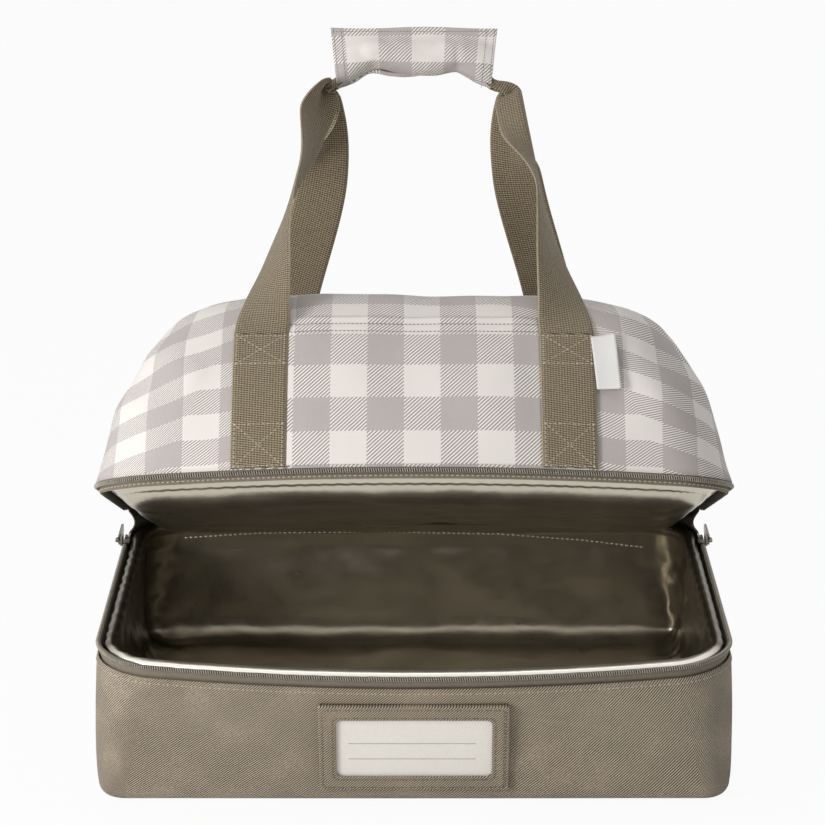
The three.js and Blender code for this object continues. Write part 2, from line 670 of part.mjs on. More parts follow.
function addBagFloor(group) {
  const edge = TAPE_INSET + TAPE_THICKNESS + LAYER_GAP;
  const rimHeight = SLIDER_HALF_WIDTH + LAYER_GAP;
  const rimInset = TAPE_INSET + SLIDER_BACK + LAYER_GAP;
  const sagEdge = INNER_INSET + FOAM;
  const under = (depth, shift) => [
    [HALF_DEPTH / 2, shift - FLOOR_SAG],
    ...SAG_SHAPE.map(([inward, share]) => [sagEdge + inward + depth, shift - share * FLOOR_SAG]),
    [sagEdge + depth, shift],
  ];
  const liningTop = LINING + 2 * LAYER_GAP;
  const boardFoot = rimHeight + LINING + LAYER_GAP;
  const boardTop = boardFoot + BOARD;
  const lining = [
    ...under(0, 0),
    [rimInset, rimHeight],
    [edge, rimHeight],
    [edge, rimHeight + LINING],
    [rimInset, rimHeight + LINING],
    ...under(LINING, LINING).reverse(),
  ];
  const foam = [...under(liningTop, liningTop), [sagEdge + liningTop, boardFoot - LAYER_GAP]];
  const slabEdge = INNER_INSET;
  const slab = (inset, low, thickness) =>
    tray(
      [
        [inset, low],
        [inset, low + thickness],
      ],
      lift,
    );
  group.add(
    part("bag_floor_under_lining", tray(lining, lift), MATERIALS.lining),
    part("bag_floor_foam", tray(foam, lift), MATERIALS.foam),
    part("bag_floor_board", slab(slabEdge, boardFoot, BOARD), MATERIALS.board),
    part("bag_floor_lining", slab(slabEdge, boardTop + LAYER_GAP, LINING), MATERIALS.lining),
  );
}

// Zip along the ridge: two tapes and two half chains that follow the bag's end profile over the top

function addRidgeZip(group) {
  const start = shareAtHeight(RIDGE_END_HEIGHT + 2 * CLOTH);
  const steps = DOME_STEPS;
  const path = [];
  for (let i = 0; i <= steps; i++) {
    const t = start + (1 - start) * (i / steps);
    const p = SIDE_PROFILE.getPoint(t);
    const tangent = SIDE_PROFILE.getTangent(t);
    path.push({ x: p.x - HALF_WIDTH, z: p.y, nx: -tangent.y, nz: tangent.x });
  }
  const mirrored = path.map((p) => ({ ...p, x: -p.x, nx: -p.nx })).reverse();
  const frames = [...path, ...mirrored];
  const strip = (y0, y1, low, high) =>
    loft(
      frames.map((f) =>
        [[y0, low], [y1, low], [y1, high], [y0, high]].map(
          ([y, n]) => new THREE.Vector3(f.x + f.nx * n, RIDGE + y, f.z + f.nz * n),
        ),
      ),
    );
  const inner = CHAIN_HALF_GAP;
  const tapeTop = -LAYER_GAP;
  for (const [name, side] of [["front", -1], ["rear", 1]]) {
    const ordered = (a, b) => (side < 0 ? [-b, -a] : [a, b]);
    const [t0, t1] = ordered(inner, inner + RIDGE_TAPE_WIDTH);
    const [c0, c1] = ordered(inner, inner + CHAIN_WIDTH);
    const tape = strip(t0, t1, tapeTop - TAPE_THICKNESS, tapeTop);
    const chain = strip(c0, c1, tapeTop + LAYER_GAP, tapeTop + LAYER_GAP + CHAIN_THICKNESS);
    group.add(part(`ridge_zip_tape_${name}`, tape, MATERIALS.tape));
    group.add(part(`ridge_zip_chain_${name}`, chain, MATERIALS.chain));
  }
  const end = HALF_WIDTH - SIDE_TOP_INSET - SLIDER_LENGTH;
  const place = new THREE.Vector3(end, RIDGE, LID_HEIGHT + tapeTop);
  group.add(slider("ridge_zip", place, new THREE.Vector3(1, 0, 0), new THREE.Vector3(0, 0, 1)));
}

// Webbing sewn up the front and the rear of the bag, the slip pocket between the front straps, and the
// bare tag beside the front right strap

// A point on the bag's front or rear wall at a share of its profile, raised along its normal
function wallPoint(x, t, rise, facing) {
  const p = FRONT_PROFILE.getPoint(t);
  const tangent = FRONT_PROFILE.getTangent(t);
  const inset = p.x - tangent.y * rise;
  const z = p.y + tangent.x * rise;
  return lift(x, facing * (HALF_DEPTH - inset), z);
}

const STRAP_SEAT = 2 * LAYER_GAP;

// A layer sewn on the wall from the bag's foot to a height, a half width to each side of x
function sewnLayer(x, half, height, thickness, facing, columns = 2) {
  const end = shareAtHeight(height);
  const across = Array.from({ length: columns + 1 }, (_, i) => x - half + (2 * half * i) / columns);
  const [low, high] = [STRAP_SEAT, STRAP_SEAT + thickness];
  const section = [...across.map((dx) => [dx, low]), ...across.reverse().map((dx) => [dx, high])];
  if (facing < 0) section.reverse();
  const rings = [];
  for (let i = 0; i <= DOME_STEPS; i++) {
    const t = end * (i / DOME_STEPS);
    rings.push(section.map(([dx, rise]) => wallPoint(dx, t, rise, facing)));
  }
  return loft(rings);
}

function addSewnStraps(group) {
  for (const [face, facing] of [["front", -1], ["rear", 1]]) {
    for (const [side, sign] of [["left", -1], ["right", 1]]) {
      const x = (sign * STRAP_SPACING) / 2;
      const strap = sewnLayer(x, WEBBING_WIDTH / 2, STRAP_ROOT_HEIGHT, WEBBING_THICKNESS, facing);
      group.add(part(`${face}_strap_${side}`, strap, MATERIALS.webbing));
    }
  }
  const half = STRAP_SPACING / 2 - WEBBING_WIDTH / 2 - FRONT_POCKET_GAP;
  const pocket = sewnLayer(0, half, FRONT_POCKET_HEIGHT, CLOTH, -1, FRONT_STEPS / 2);
  group.add(part("front_pocket_panel", pocket, MATERIALS.check));
  const inner = STRAP_SPACING / 2 + WEBBING_WIDTH / 2 + LAYER_GAP;
  const ends = [-0.5, 0.5].map((s) => shareAtHeight(TAG_MIDDLE_HEIGHT + s * TAG_HEIGHT));
  const rings = [];
  const steps = CORNER_STEPS;
  for (let i = 0; i <= steps; i++) {
    const t = ends[0] + (ends[1] - ends[0]) * (i / steps);
    const [low, high] = [STRAP_SEAT, STRAP_SEAT + TAG_THICKNESS];
    const section = [[TAG_WIDTH, high], [TAG_WIDTH, low], [0, low], [0, high]];
    rings.push(section.map(([dx, rise]) => wallPoint(inner + dx, t, rise, -1)));
  }
  group.add(part("side_tag", loft(rings), MATERIALS.tag));
}

// Carrying loops: each leaves the bag flat against its wall, turns edge-on and folds along its middle on
// the way up, runs through the grip, and comes down the other side.

const FOLD = THREE.MathUtils.degToRad(FOLD_DEG);
const RUN_HEIGHT = STRAP_ROOT_HEIGHT + LOOP_RISE;
const RUN_HALF_WIDTH = (WEBBING_WIDTH / 2) * Math.cos(FOLD) + WEBBING_THICKNESS / 2;
const RUN_DROP = (WEBBING_WIDTH / 2) * Math.sin(FOLD) + WEBBING_THICKNESS / 2; // crease to the hanging edges
const RUN_OFFSET = RUN_HALF_WIDTH + LAYER_GAP; // the two folded runs lie side by side

function loopPath(facing) {
  const x = STRAP_SPACING / 2;
  const share = shareAtHeight(STRAP_ROOT_HEIGHT + LAYER_GAP);
  const root = wallPoint(-x, share, STRAP_SEAT + WEBBING_THICKNESS / 2, facing);
  const slope = FRONT_PROFILE.getTangent(share);
  const reach = GRIP_LENGTH / 2 + RUN_DROP;
  const end = new THREE.Vector3(-reach, RIDGE + facing * RUN_OFFSET, RUN_HEIGHT - LOOP_DIP);
  const straight = end.clone().sub(root).divideScalar(3);
  const along = new THREE.Vector3(0, -facing * slope.x, slope.y).multiplyScalar(straight.length());
  const leave = root.clone().addScaledVector(along, LOOP_LEAVE).addScaledVector(straight, 1 - LOOP_LEAVE);
  const arrive = end.clone().sub(straight);
  if (facing > 0) {
    leave.x += REAR_LEAN;
    arrive.x += REAR_LEAN / 3;
  }
  return new THREE.CubicBezierCurve3(root, leave, arrive, end);
}

// Section of the webbing: three points on its inner face and three on its outer one, folded at the middle
function webbingRing(middle, across, outward, fold) {
  const half = WEBBING_WIDTH / 2;
  const side = (sign, n) => {
    const p = middle.clone().addScaledVector(across, sign * (half * Math.cos(fold) + n * Math.sin(fold)));
    return p.addScaledVector(outward, n * Math.cos(fold) - half * Math.sin(fold));
  };
  const crown = (n) => middle.clone().addScaledVector(outward, n / Math.max(Math.cos(fold), CREASE_LIMIT));
  const n = WEBBING_THICKNESS / 2;
  return [side(-1, -n), crown(-n), side(1, -n), side(1, n), crown(n), side(-1, n)];
}

function carryingLoop(facing) {
  const path = loopPath(facing);
  const [turning, folding] = facing < 0 ? [FRONT_TURN, FRONT_FOLD] : [REAR_TURN, REAR_FOLD];
  const leg = [];
  for (let i = 0; i <= LOOP_STEPS; i++) {
    const s = i / LOOP_STEPS;
    const turn = (THREE.MathUtils.smoothstep(s, ...turning) * Math.PI) / 2;
    const fold = FOLD * THREE.MathUtils.smoothstep(s, ...folding);
    const tangent = path.getTangent(s);
    const flat = new THREE.Vector3(Math.cos(turn), facing * Math.sin(turn), 0);
    const square = THREE.MathUtils.smoothstep(s, 0, LOOP_SQUARE);
    const across = flat.addScaledVector(tangent, -square * flat.dot(tangent)).normalize();
    const outward = new THREE.Vector3().crossVectors(across, tangent).normalize().multiplyScalar(-facing);
    leg.push(webbingRing(path.getPoint(s), across, outward, fold));
  }
  const within = WEBBING_WIDTH / 4 - GRIP_LENGTH / 2;
  const inside = new THREE.Vector3(within, RIDGE + facing * RUN_OFFSET, RUN_HEIGHT);
  leg.push(webbingRing(inside, new THREE.Vector3(0, facing, 0), new THREE.Vector3(0, 0, 1), FOLD));
  const right = leg.map((ring) => ring.map((p) => new THREE.Vector3(-p.x, p.y, p.z)));
  const rings = [...leg, ...right.reverse()];
  if (facing < 0) rings.forEach((ring) => ring.reverse());
  return loft(rings);
}

// Grip: a pad in two halves that meet under the runs and lie together above them, with hook-and-loop
// strips between their upper edges. The front half swings open about the lower seam.

const GRIP_FLOOR = RUN_HEIGHT - RUN_DROP - 2 * GRIP_CLEARANCE; // inner face under the runs
const GRIP_HALF_WIDTH = 2 * RUN_HALF_WIDTH + LAYER_GAP + GRIP_CLEARANCE;
const FASTENER_INNER = FASTENER_THICKNESS + 1.5 * LAYER_GAP;

function gripHalf(facing) {
  const seam = LAYER_GAP / 2;
  const edge = (grow) => {
    const [w, low, pinch] = [GRIP_HALF_WIDTH + grow, GRIP_FLOOR - grow, FASTENER_INNER + grow];
    const top = GRIP_FLOOR - GRIP_PAD + GRIP_HEIGHT;
    const shoulder = RUN_HEIGHT - RUN_DROP / 3;
    const waist = top - FASTENER_WIDTH;
    const line = new THREE.Path();
    line.moveTo(seam, low).lineTo(w / 2, low);
    line.quadraticCurveTo(w, low, w, low + w / 2);
    line.lineTo(w, shoulder);
    line.bezierCurveTo(w, (shoulder + waist) / 2 + GRIP_PAD, pinch, (shoulder + waist) / 2, pinch, waist);
    line.lineTo(pinch, top);
    return line.getPoints(CORNER_STEPS);
  };
  const round = [...edge(0), ...edge(GRIP_PAD).reverse()];
  const shape = new THREE.Shape(round.map((p) => new THREE.Vector2(facing * p.x, p.y)));
  const geometry = extrude(shape, GRIP_LENGTH).rotateX(Math.PI / 2).rotateZ(Math.PI / 2);
  return geometry.translate(-GRIP_LENGTH / 2, RIDGE, 0);
}

function addHandle(group) {
  const top = GRIP_FLOOR - GRIP_PAD + GRIP_HEIGHT - LAYER_GAP;
  const reach = GRIP_LENGTH / 2 - FASTENER_WIDTH / 2;
  const strip = (facing) => {
    const [near, far] = [facing * (LAYER_GAP / 2), facing * (LAYER_GAP / 2 + FASTENER_THICKNESS)];
    const [y0, y1] = [RIDGE + Math.min(near, far), RIDGE + Math.max(near, far)];
    return box(-reach, reach, y0, y1, top - FASTENER_WIDTH + LAYER_GAP, top);
  };
  group.add(
    part("front_loop_webbing", carryingLoop(-1), MATERIALS.webbing),
    part("rear_loop_webbing", carryingLoop(1), MATERIALS.webbing),
    part("grip_front_half", gripHalf(-1), MATERIALS.check),
    part("grip_rear_half", gripHalf(1), MATERIALS.check),
    part("grip_hook_strip", strip(-1), MATERIALS.fastener),
    part("grip_loop_strip", strip(1), MATERIALS.fastener),
  );
}

const carrier = new THREE.Group();
carrier.name = "casserole_carrier";
const bag = new THREE.Group();
bag.position.set(0, HINGE_Y, PARTING_HEIGHT);
bag.rotation.x = -LID_OPEN;
addTub(carrier);
addPocket(carrier);
addSideSliders(carrier);
addBag(bag);
addBagFloor(bag);
addRidgeZip(bag);
addSewnStraps(bag);
addHandle(bag);
carrier.add(bag);

export default carrier;
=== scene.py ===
import math

import bmesh
import bpy
import numpy as np
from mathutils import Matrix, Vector, noise


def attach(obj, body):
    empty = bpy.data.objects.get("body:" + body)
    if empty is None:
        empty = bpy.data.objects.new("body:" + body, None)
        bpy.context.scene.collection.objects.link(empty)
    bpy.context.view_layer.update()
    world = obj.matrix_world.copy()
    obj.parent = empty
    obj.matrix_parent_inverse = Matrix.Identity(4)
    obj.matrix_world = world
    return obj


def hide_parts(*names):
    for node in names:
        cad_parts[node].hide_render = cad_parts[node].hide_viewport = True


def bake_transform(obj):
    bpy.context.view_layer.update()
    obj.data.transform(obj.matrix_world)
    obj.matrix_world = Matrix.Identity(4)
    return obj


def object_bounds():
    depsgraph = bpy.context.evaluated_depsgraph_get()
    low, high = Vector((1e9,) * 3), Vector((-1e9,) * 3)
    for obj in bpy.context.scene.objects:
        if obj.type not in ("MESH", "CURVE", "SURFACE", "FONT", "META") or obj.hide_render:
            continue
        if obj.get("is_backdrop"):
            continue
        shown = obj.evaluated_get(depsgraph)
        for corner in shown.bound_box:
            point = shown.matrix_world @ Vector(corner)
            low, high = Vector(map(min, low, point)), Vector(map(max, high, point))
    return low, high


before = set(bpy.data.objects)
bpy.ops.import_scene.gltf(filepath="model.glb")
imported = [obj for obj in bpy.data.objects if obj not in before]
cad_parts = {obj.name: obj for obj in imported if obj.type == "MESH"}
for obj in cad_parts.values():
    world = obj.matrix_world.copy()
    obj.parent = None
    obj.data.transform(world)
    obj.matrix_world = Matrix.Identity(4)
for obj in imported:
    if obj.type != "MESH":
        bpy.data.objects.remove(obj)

for name in ("Cube", "Light", "Camera"):
    if name in bpy.data.objects:
        bpy.data.objects.remove(bpy.data.objects[name])
cad_low, cad_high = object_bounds()

# Studio: a pale floor that runs out of view, a broad key lamp from the front left, a weaker fill from the
# right, a wide lamp overhead and an even sky. The camera stands above the carrier and square to its front.
scene = bpy.context.scene
scene.view_settings.view_transform = "Standard"


def aim(obj, place, target):
    obj.location = place
    obj.rotation_euler = (Vector(target) - Vector(place)).to_track_quat("-Z", "Y").to_euler()
    scene.collection.objects.link(obj)


LIGHT_TARGET = (0, 0, 0.2)


def soft_lamp(name, place, size, power):
    lamp = bpy.data.lights.new(name, "AREA")
    lamp.shape, lamp.size, lamp.energy = "DISK", size, power
    aim(bpy.data.objects.new(name, lamp), place, LIGHT_TARGET)


CAMERA_PLACE, CAMERA_TARGET = (-0.001, -1.8438, 0.7898), (-0.001, 0.0, 0.2215)
camera = bpy.data.cameras.new("camera")
camera.lens, camera.sensor_width = 126.0, 36.0
camera_object = bpy.data.objects.new("camera", camera)
aim(camera_object, CAMERA_PLACE, CAMERA_TARGET)
scene.camera = camera_object
soft_lamp("key", (-1.12, -1.0, 0.6), size=0.6, power=13.8)
soft_lamp("fill", (1.7, -1.5, 0.9), size=1.4, power=0.5)
soft_lamp("crown", (0.0, 0.3, 2.4), size=1.6, power=8.0)


def seen_directly(tree):
    """1 for rays from the camera, mirrors and glass, 0 for the light that falls on the carrier."""
    path = tree.nodes.new("ShaderNodeLightPath")
    total = path.outputs["Is Camera Ray"]
    for kind in ("Is Glossy Ray", "Is Transmission Ray"):
        most = tree.nodes.new("ShaderNodeMath")
        most.operation = "MAXIMUM"
        tree.links.new(total, most.inputs[0])
        tree.links.new(path.outputs[kind], most.inputs[1])
        total = most.outputs[0]
    return total


SKY_LIGHT = 0.36
WHITE = (1, 1, 1, 1)
scene.world = bpy.data.worlds.new("studio")
scene.world.use_nodes = True
sky = scene.world.node_tree
sky.nodes["Background"].inputs["Strength"].default_value = SKY_LIGHT
sky.nodes["Background"].inputs["Color"].default_value = WHITE
backdrop = sky.nodes.new("ShaderNodeBackground")
backdrop.inputs["Color"].default_value = WHITE
either = sky.nodes.new("ShaderNodeMixShader")
sky.links.new(seen_directly(sky), either.inputs[0])
sky.links.new(sky.nodes["Background"].outputs[0], either.inputs[1])
sky.links.new(backdrop.outputs[0], either.inputs[2])
sky.links.new(either.outputs[0], sky.nodes["World Output"].inputs[0])

FLOOR_REACH, FLOOR_LEVEL, FLOOR_GLOW = 9.0, -0.0004, 0.94
floor_mesh = bpy.data.meshes.new("floor")
corners = [(x * FLOOR_REACH, y * FLOOR_REACH, FLOOR_LEVEL) for x, y in ((-1, -1), (1, -1), (1, 1), (-1, 1))]
floor_mesh.from_pydata(corners, [], [(0, 1, 2, 3)])
floor = bpy.data.objects.new("floor", floor_mesh)
scene.collection.objects.link(floor)
floor_paint = bpy.data.materials.new("pale_floor")
floor_paint.use_nodes = True
paper = floor_paint.node_tree
matt = paper.nodes["Principled BSDF"]
matt.inputs["Base Color"].default_value = (0.9, 0.9, 0.9, 1)
matt.inputs["Roughness"].default_value = 0.9
glow = paper.nodes.new("ShaderNodeEmission")
lit = paper.nodes.new("ShaderNodeMixShader")
share = paper.nodes.new("ShaderNodeMath")
share.operation = "MULTIPLY"
share.inputs[1].default_value = FLOOR_GLOW
paper.links.new(seen_directly(paper), share.inputs[0])
paper.links.new(share.outputs[0], lit.inputs[0])
paper.links.new(matt.outputs[0], lit.inputs[1])
paper.links.new(glow.outputs[0], lit.inputs[2])
paper.links.new(lit.outputs[0], paper.nodes["Material Output"].inputs[0])
floor_mesh.materials.append(floor_paint)
floor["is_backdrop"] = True


# Tub wall: one strip of taupe twill round the tub, backed with foam and turned under at the bottom seam.
# Its front has slumped outwards and down a little. Sizes from here on are in millimetres.
MM = 0.001
HALF_WIDTH, HALF_DEPTH, CORNER, BASE_CORNER = 205.0, 139.0, 40.0, 17.0
PARTING, SLUMP_OUT, SLUMP_DOWN = 101.0, 24.0, 2.6
SIDE_STEPS, CORNER_STEPS, FRONT_STEPS, REAR_STEPS = 90, 16, 110, 56
POINTS = 2 * SIDE_STEPS + 4 * CORNER_STEPS + FRONT_STEPS + REAR_STEPS


def outline(inset_x, inset_y=None, radius=None):
    """A rounded rectangle seen from above: left side, front, right side, rear."""
    inset_y = inset_x if inset_y is None else inset_y
    radius = CORNER - inset_x if radius is None else radius
    w, d = HALF_WIDTH - inset_x, HALF_DEPTH - inset_y
    r = min(max(radius, 1.0), w, d)

    def run(a, b, steps):
        return np.linspace(a, b, steps, endpoint=False)

    def turn(x, y, start):
        angle = np.radians(run(start, start + 90, CORNER_STEPS))
        return np.stack([x + r * np.cos(angle), y + r * np.sin(angle)], -1)

    return np.concatenate(
        [
            run((-w, d - r), (-w, r - d), SIDE_STEPS),
            turn(r - w, r - d, 180),
            run((r - w, -d), (w - r, -d), FRONT_STEPS),
            turn(w - r, r - d, 270),
            run((w, r - d), (w, d - r), SIDE_STEPS),
            turn(w - r, d - r, 0),
            run((w - r, d), (r - w, d), REAR_STEPS),
            turn(r - w, d - r, 90),
        ]
    )


def run_of(line):
    """Distance along a line of points, from its first."""
    return np.concatenate([[0], np.cumsum(np.linalg.norm(np.diff(line, axis=0), axis=1))])


def along(line):
    """Distance along a closed outline, from the middle of its front, with one more value for the way back."""
    far = run_of(np.vstack([line, line[:1]]))
    return far - far[SIDE_STEPS + CORNER_STEPS + FRONT_STEPS // 2]


def slump(points):
    """Where points of the tub stand once its front has slumped."""
    p = np.array(points, float)
    x, y, z = p[..., 0], p[..., 1], p[..., 2]
    share = np.maximum(0, 1 - (x / HALF_WIDTH) ** 2) * np.maximum(0, -y / HALF_DEPTH) * z / PARTING
    return np.stack([x, y - SLUMP_OUT * share, z - SLUMP_DOWN * share], -1)


def level_ring(z, *sizes):
    """An outline of the given sizes, laid level at a height."""
    return np.column_stack([outline(*sizes), np.full(POINTS, z)])


def rings(section, place):
    """A ring for each (inset, height) of a section; the tub's corners are tighter at its foot."""
    made = []
    for inset, z in section:
        radius = BASE_CORNER + (CORNER - BASE_CORNER) * z / PARTING if place is slump else CORNER
        made.append(place(level_ring(z, inset, None, max(radius - inset, 6.0))))
    return np.array(made)


def normals(rows, closed=True):
    """Outward directions at the points of rows that climb up an outside wall."""
    if closed:
        across = np.roll(rows, -1, 1) - np.roll(rows, 1, 1)
    else:
        across = np.gradient(rows, axis=1)
    n = np.cross(across, np.gradient(rows, axis=0))
    return n / np.maximum(np.linalg.norm(n, axis=-1, keepdims=True), 1e-9)


def rumple(rows, size, seed):
    """Smooth noise from -1 to 1 at each point, with folds of about the given size."""
    flat = rows.reshape(-1, 3) / size
    shift = Vector((seed * 7.31, seed * 3.17, seed * 5.77))
    return np.array([noise.noise(Vector(p) + shift) for p in flat]).reshape(rows.shape[:-1])


def skin(name, rows, u, v, closed=True, shell=False, caps=False, rungs=False, last_cap=False):
    """A smooth mesh over rows of points, with its weave's own map in millimetres.

    The map is given across the rows (u) and up them (v); a single v is the step from row to row.
    """
    rows = np.asarray(rows, float)
    count, width = rows.shape[:2]
    i, j = np.meshgrid(np.arange(count - (not shell)), np.arange(width - (not closed)), indexing="ij")
    low, high, j2 = i * width, (i + 1) % count * width, (j + 1) % width
    faces = np.stack([low + j, low + j2, high + j2, high + j], -1).reshape(-1, 4).tolist()
    u, v = np.asarray(u, float), np.asarray(v, float)
    if u.ndim == 1 and len(u) == width:
        u = np.append(u, u[0] if closed else u[-1])
    if u.ndim < 3:
        u = np.broadcast_to(u, (count + 1, width + 1))
        u = np.stack([u[:, :-1], u[:, 1:]], -1)
    if v.ndim == 0:
        v = np.arange(count + 1) * v
    if v.ndim == 1:
        v = (np.append(v, v[-1]) if len(v) == count else v)[:, None]
    v = np.broadcast_to(v, (count + 1, width + 1))
    corners = [(0, 0), (0, 1), (1, 1), (1, 0)]
    weave = [np.stack([u[i + a, j, b], v[i + a, j + b]], -1) for a, b in corners]
    weave = np.stack(weave, 2).reshape(-1, 2).tolist()
    for row in (0, count - 1) if caps or rungs else (count - 1,) if last_cap else ():
        start, last = row * width, row * width + width - 1
        if not rungs:
            ends = [list(range(start, last + 1))]
        else:
            ends = [[start + k, start + k + 1, last - 1 - k, last - k] for k in range(width // 2 - 1)]
        for face in ends if row else [f[::-1] for f in ends]:
            faces.append(face)
            weave += [(u[row, k - start, 0], v[row, k - start]) for k in face]
    mesh = bpy.data.meshes.new(name)
    mesh.from_pydata((rows.reshape(-1, 3) * MM).tolist(), [], faces)
    layer = mesh.uv_layers.new(name="weave")
    layer.data.foreach_set("uv", np.array(weave, np.float32).ravel())
    mesh.shade_smooth()
    obj = bpy.data.objects.new(name, mesh)
    scene.collection.objects.link(obj)
    return obj


def solid(name, rows, u, v, **ways):
    """A skin that closes on itself, with its faces turned outwards."""
    obj = skin(name, rows, u, v, **ways)
    bm = bmesh.new()
    bm.from_mesh(obj.data)
    bmesh.ops.recalc_face_normals(bm, faces=bm.faces)
    bm.to_mesh(obj.data)
    bm.free()
    return obj


def tint(code):
    """A colour as seen, #rrggbb, as the shader takes it."""
    seen = np.array([int(code[k : k + 2], 16) / 255 for k in (1, 3, 5)])
    linear = np.where(seen <= 0.04045, seen / 12.92, ((seen + 0.055) / 1.055) ** 2.4)
    return (*linear.tolist(), 1.0)


class Finish:
    """A material on one shader, with short ways to add the nodes that feed it."""

    def __init__(self, name, **sockets):
        self.material = bpy.data.materials.new(name)
        self.material.use_nodes = True
        self.tree = self.material.node_tree
        self.shader = self.tree.nodes["Principled BSDF"]
        for socket, value in sockets.items():
            self.plug(self.shader.inputs[socket.replace("_", " ")], value)

    def plug(self, socket, value):
        if isinstance(value, bpy.types.NodeSocket):
            self.tree.links.new(value, socket)
        else:
            socket.default_value = tint(value) if isinstance(value, str) else value

    def node(self, kind, *values, **settings):
        made = self.tree.nodes.new(kind)
        for key, value in settings.items():
            setattr(made, key, value)
        for socket, value in zip(made.inputs, values):
            if value is not None:
                self.plug(socket, value)
        return made

    def math(self, operation, a, b=0.0):
        return self.node("ShaderNodeMath", a, b, operation=operation).outputs[0]

    def plus(self, a, b):
        return self.math("ADD", a, b)

    def minus(self, a, b):
        return self.math("SUBTRACT", a, b)

    def times(self, a, b):
        return self.math("MULTIPLY", a, b)

    def span(self, value, low, high, first, last):
        """A value between low and high, carried over to between first and last."""
        return self.node("ShaderNodeMapRange", value, low, high, first, last).outputs[0]

    def mix(self, share, a, b):
        made = self.node("ShaderNodeMix", share, data_type="RGBA")
        self.plug(made.inputs[6], a)
        self.plug(made.inputs[7], b)
        return made.outputs[2]

    def place(self):
        return self.node("ShaderNodeTexCoord").outputs["Object"]

    def weave(self):
        parts = self.node("ShaderNodeSeparateXYZ", self.node("ShaderNodeUVMap", uv_map="weave").outputs[0])
        return parts.outputs[0], parts.outputs[1]

    def noise(self, scale, detail):
        made = self.node("ShaderNodeTexNoise")
        self.plug(made.inputs["Vector"], self.place())
        made.inputs["Scale"].default_value = scale
        made.inputs["Detail"].default_value = detail
        return made.outputs[0]

    def fuzz(self, value, scale, amount):
        """A value made uneven by fine noise."""
        return self.plus(value, self.times(self.minus(self.noise(scale, 2), 0.5), amount))

    def mottle(self, scale, detail, one, other):
        """Two colours in soft patches."""
        return self.mix(self.noise(scale, detail), one, other)

    def wave(self, length, pitch):
        """0 to 1 to 0 over each pitch of a length."""
        turn = self.math("SINE", self.times(length, 2 * math.pi / pitch))
        return self.plus(self.times(turn, 0.5), 0.5)

    def colour(self, value):
        self.plug(self.shader.inputs["Base Color"], value)

    def roughness(self, value):
        self.plug(self.shader.inputs["Roughness"], value)

    def bump(self, height, depth, strength):
        made = self.node("ShaderNodeBump", strength, depth)
        self.plug(made.inputs["Height"], height)
        self.plug(self.shader.inputs["Normal"], made.outputs[0])

    def wear(self, *pieces):
        for piece in pieces:
            piece.data.materials.clear()
            piece.data.materials.append(self.material)


TWILL_PITCH = 1.9
twill = Finish("taupe_twill", Roughness=0.88, Sheen_Weight=0.2)
u, v = twill.weave()
rib = twill.minus(twill.wave(twill.minus(u, v), TWILL_PITCH), 0.5)
plain = twill.span(twill.noise(40, 2), 0.35, 0.62, 0.7, 2.2)
yarn = twill.plus(twill.times(rib, plain), 0.5)
uneven = twill.fuzz(yarn, 900, 0.7)
tone = twill.mix(uneven, "#352c20", "#d9c8af")
cloudy = twill.mottle(22, 3, "#857763", "#9d8d79")
twill.colour(twill.mix(0.12, tone, cloudy))
twill.bump(uneven, 0.0005, 0.8)

WALL_TOP, WALL_PUFF = 91.2, 1.2
FLAT_HALF, FLAT_TOP = 61.0, 80.0
SEAM_INSET, SEAM_LOW, SEAM_RISE = 8.0, 1.5, 8.8
seam = [
    (SEAM_INSET * (1 - math.sin(a)), SEAM_LOW + SEAM_RISE * (1 - math.cos(a)))
    for a in np.linspace(0, math.pi / 2, 9, endpoint=False)
]
face = [(0.0, z) for z in np.linspace(SEAM_LOW + SEAM_RISE, WALL_TOP - 0.9, 32)]
fold = [(0.2, WALL_TOP - 0.3), (0.6, WALL_TOP), (1.0, WALL_TOP - 0.3), (1.25, WALL_TOP - 1.5)]
back = [(1.35, 86.0), (5.2, 84.6), (5.4, 82.0), (5.4, 40.0), (5.4, 14.0), (8.2, 4.0)]
wall_section = seam + face + fold + back
wall = rings(wall_section, slump)
outside = len(seam) + len(face)
height = np.array([z for _, z in wall_section])
swell = np.clip((height - SEAM_LOW - SEAM_RISE) / (WALL_TOP - SEAM_LOW - SEAM_RISE), 0, 1)
swell = (4 * swell * (1 - swell))[:, None]
swell[outside:] = 0
lumps = rumple(wall, 70, 1) * 1.3 + rumple(wall, 26, 2) * 0.45
beside_pocket = np.clip(np.maximum(np.abs(wall[..., 0]) - FLAT_HALF, 0) / 20 + (wall[..., 1] > 0), 0, 1)
beside_pocket = np.maximum(beside_pocket, np.clip((height[:, None] - FLAT_TOP) / 8, 0, 1))
wall = wall + normals(wall) * ((WALL_PUFF * swell**0.5 + lumps * swell) * beside_pocket)[..., None]
AROUND = along(outline(0))
wall_v = np.append(run_of(np.array(wall_section)), 300)
tub_wall = solid("tub_wall", wall, AROUND, wall_v, shell=True)
twill.wear(tub_wall)
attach(tub_wall, "tub")
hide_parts("tub_wall_cloth", "tub_wall_foam")


# Tub floor: twill over a stiff board and a foam pad, sewn to the wall all round and flat where it rests.
# Its edge meets the turned-under foot of the wall.
FLOOR_SECTION = [(9.4, 0.0), (8.6, 0.4), (8.4, 1.2), (8.8, 4.0), (10.2, 7.6), (13.0, 8.0)]
tub_floor = solid("tub_floor", rings(FLOOR_SECTION, slump), AROUND, 3.0, caps=True)
twill.wear(tub_floor)
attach(tub_floor, "tub")
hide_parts("tub_floor_cloth", "tub_floor_board", "tub_floor_foam")


# Zip of the tub: a knitted tape sewn inside the top of the wall, and a nylon coil on its free edge. The
# tape runs round the left side, the front and the right side.
ZIP_RUN = np.arange(2 * SIDE_STEPS + 2 * CORNER_STEPS + FRONT_STEPS + 1)

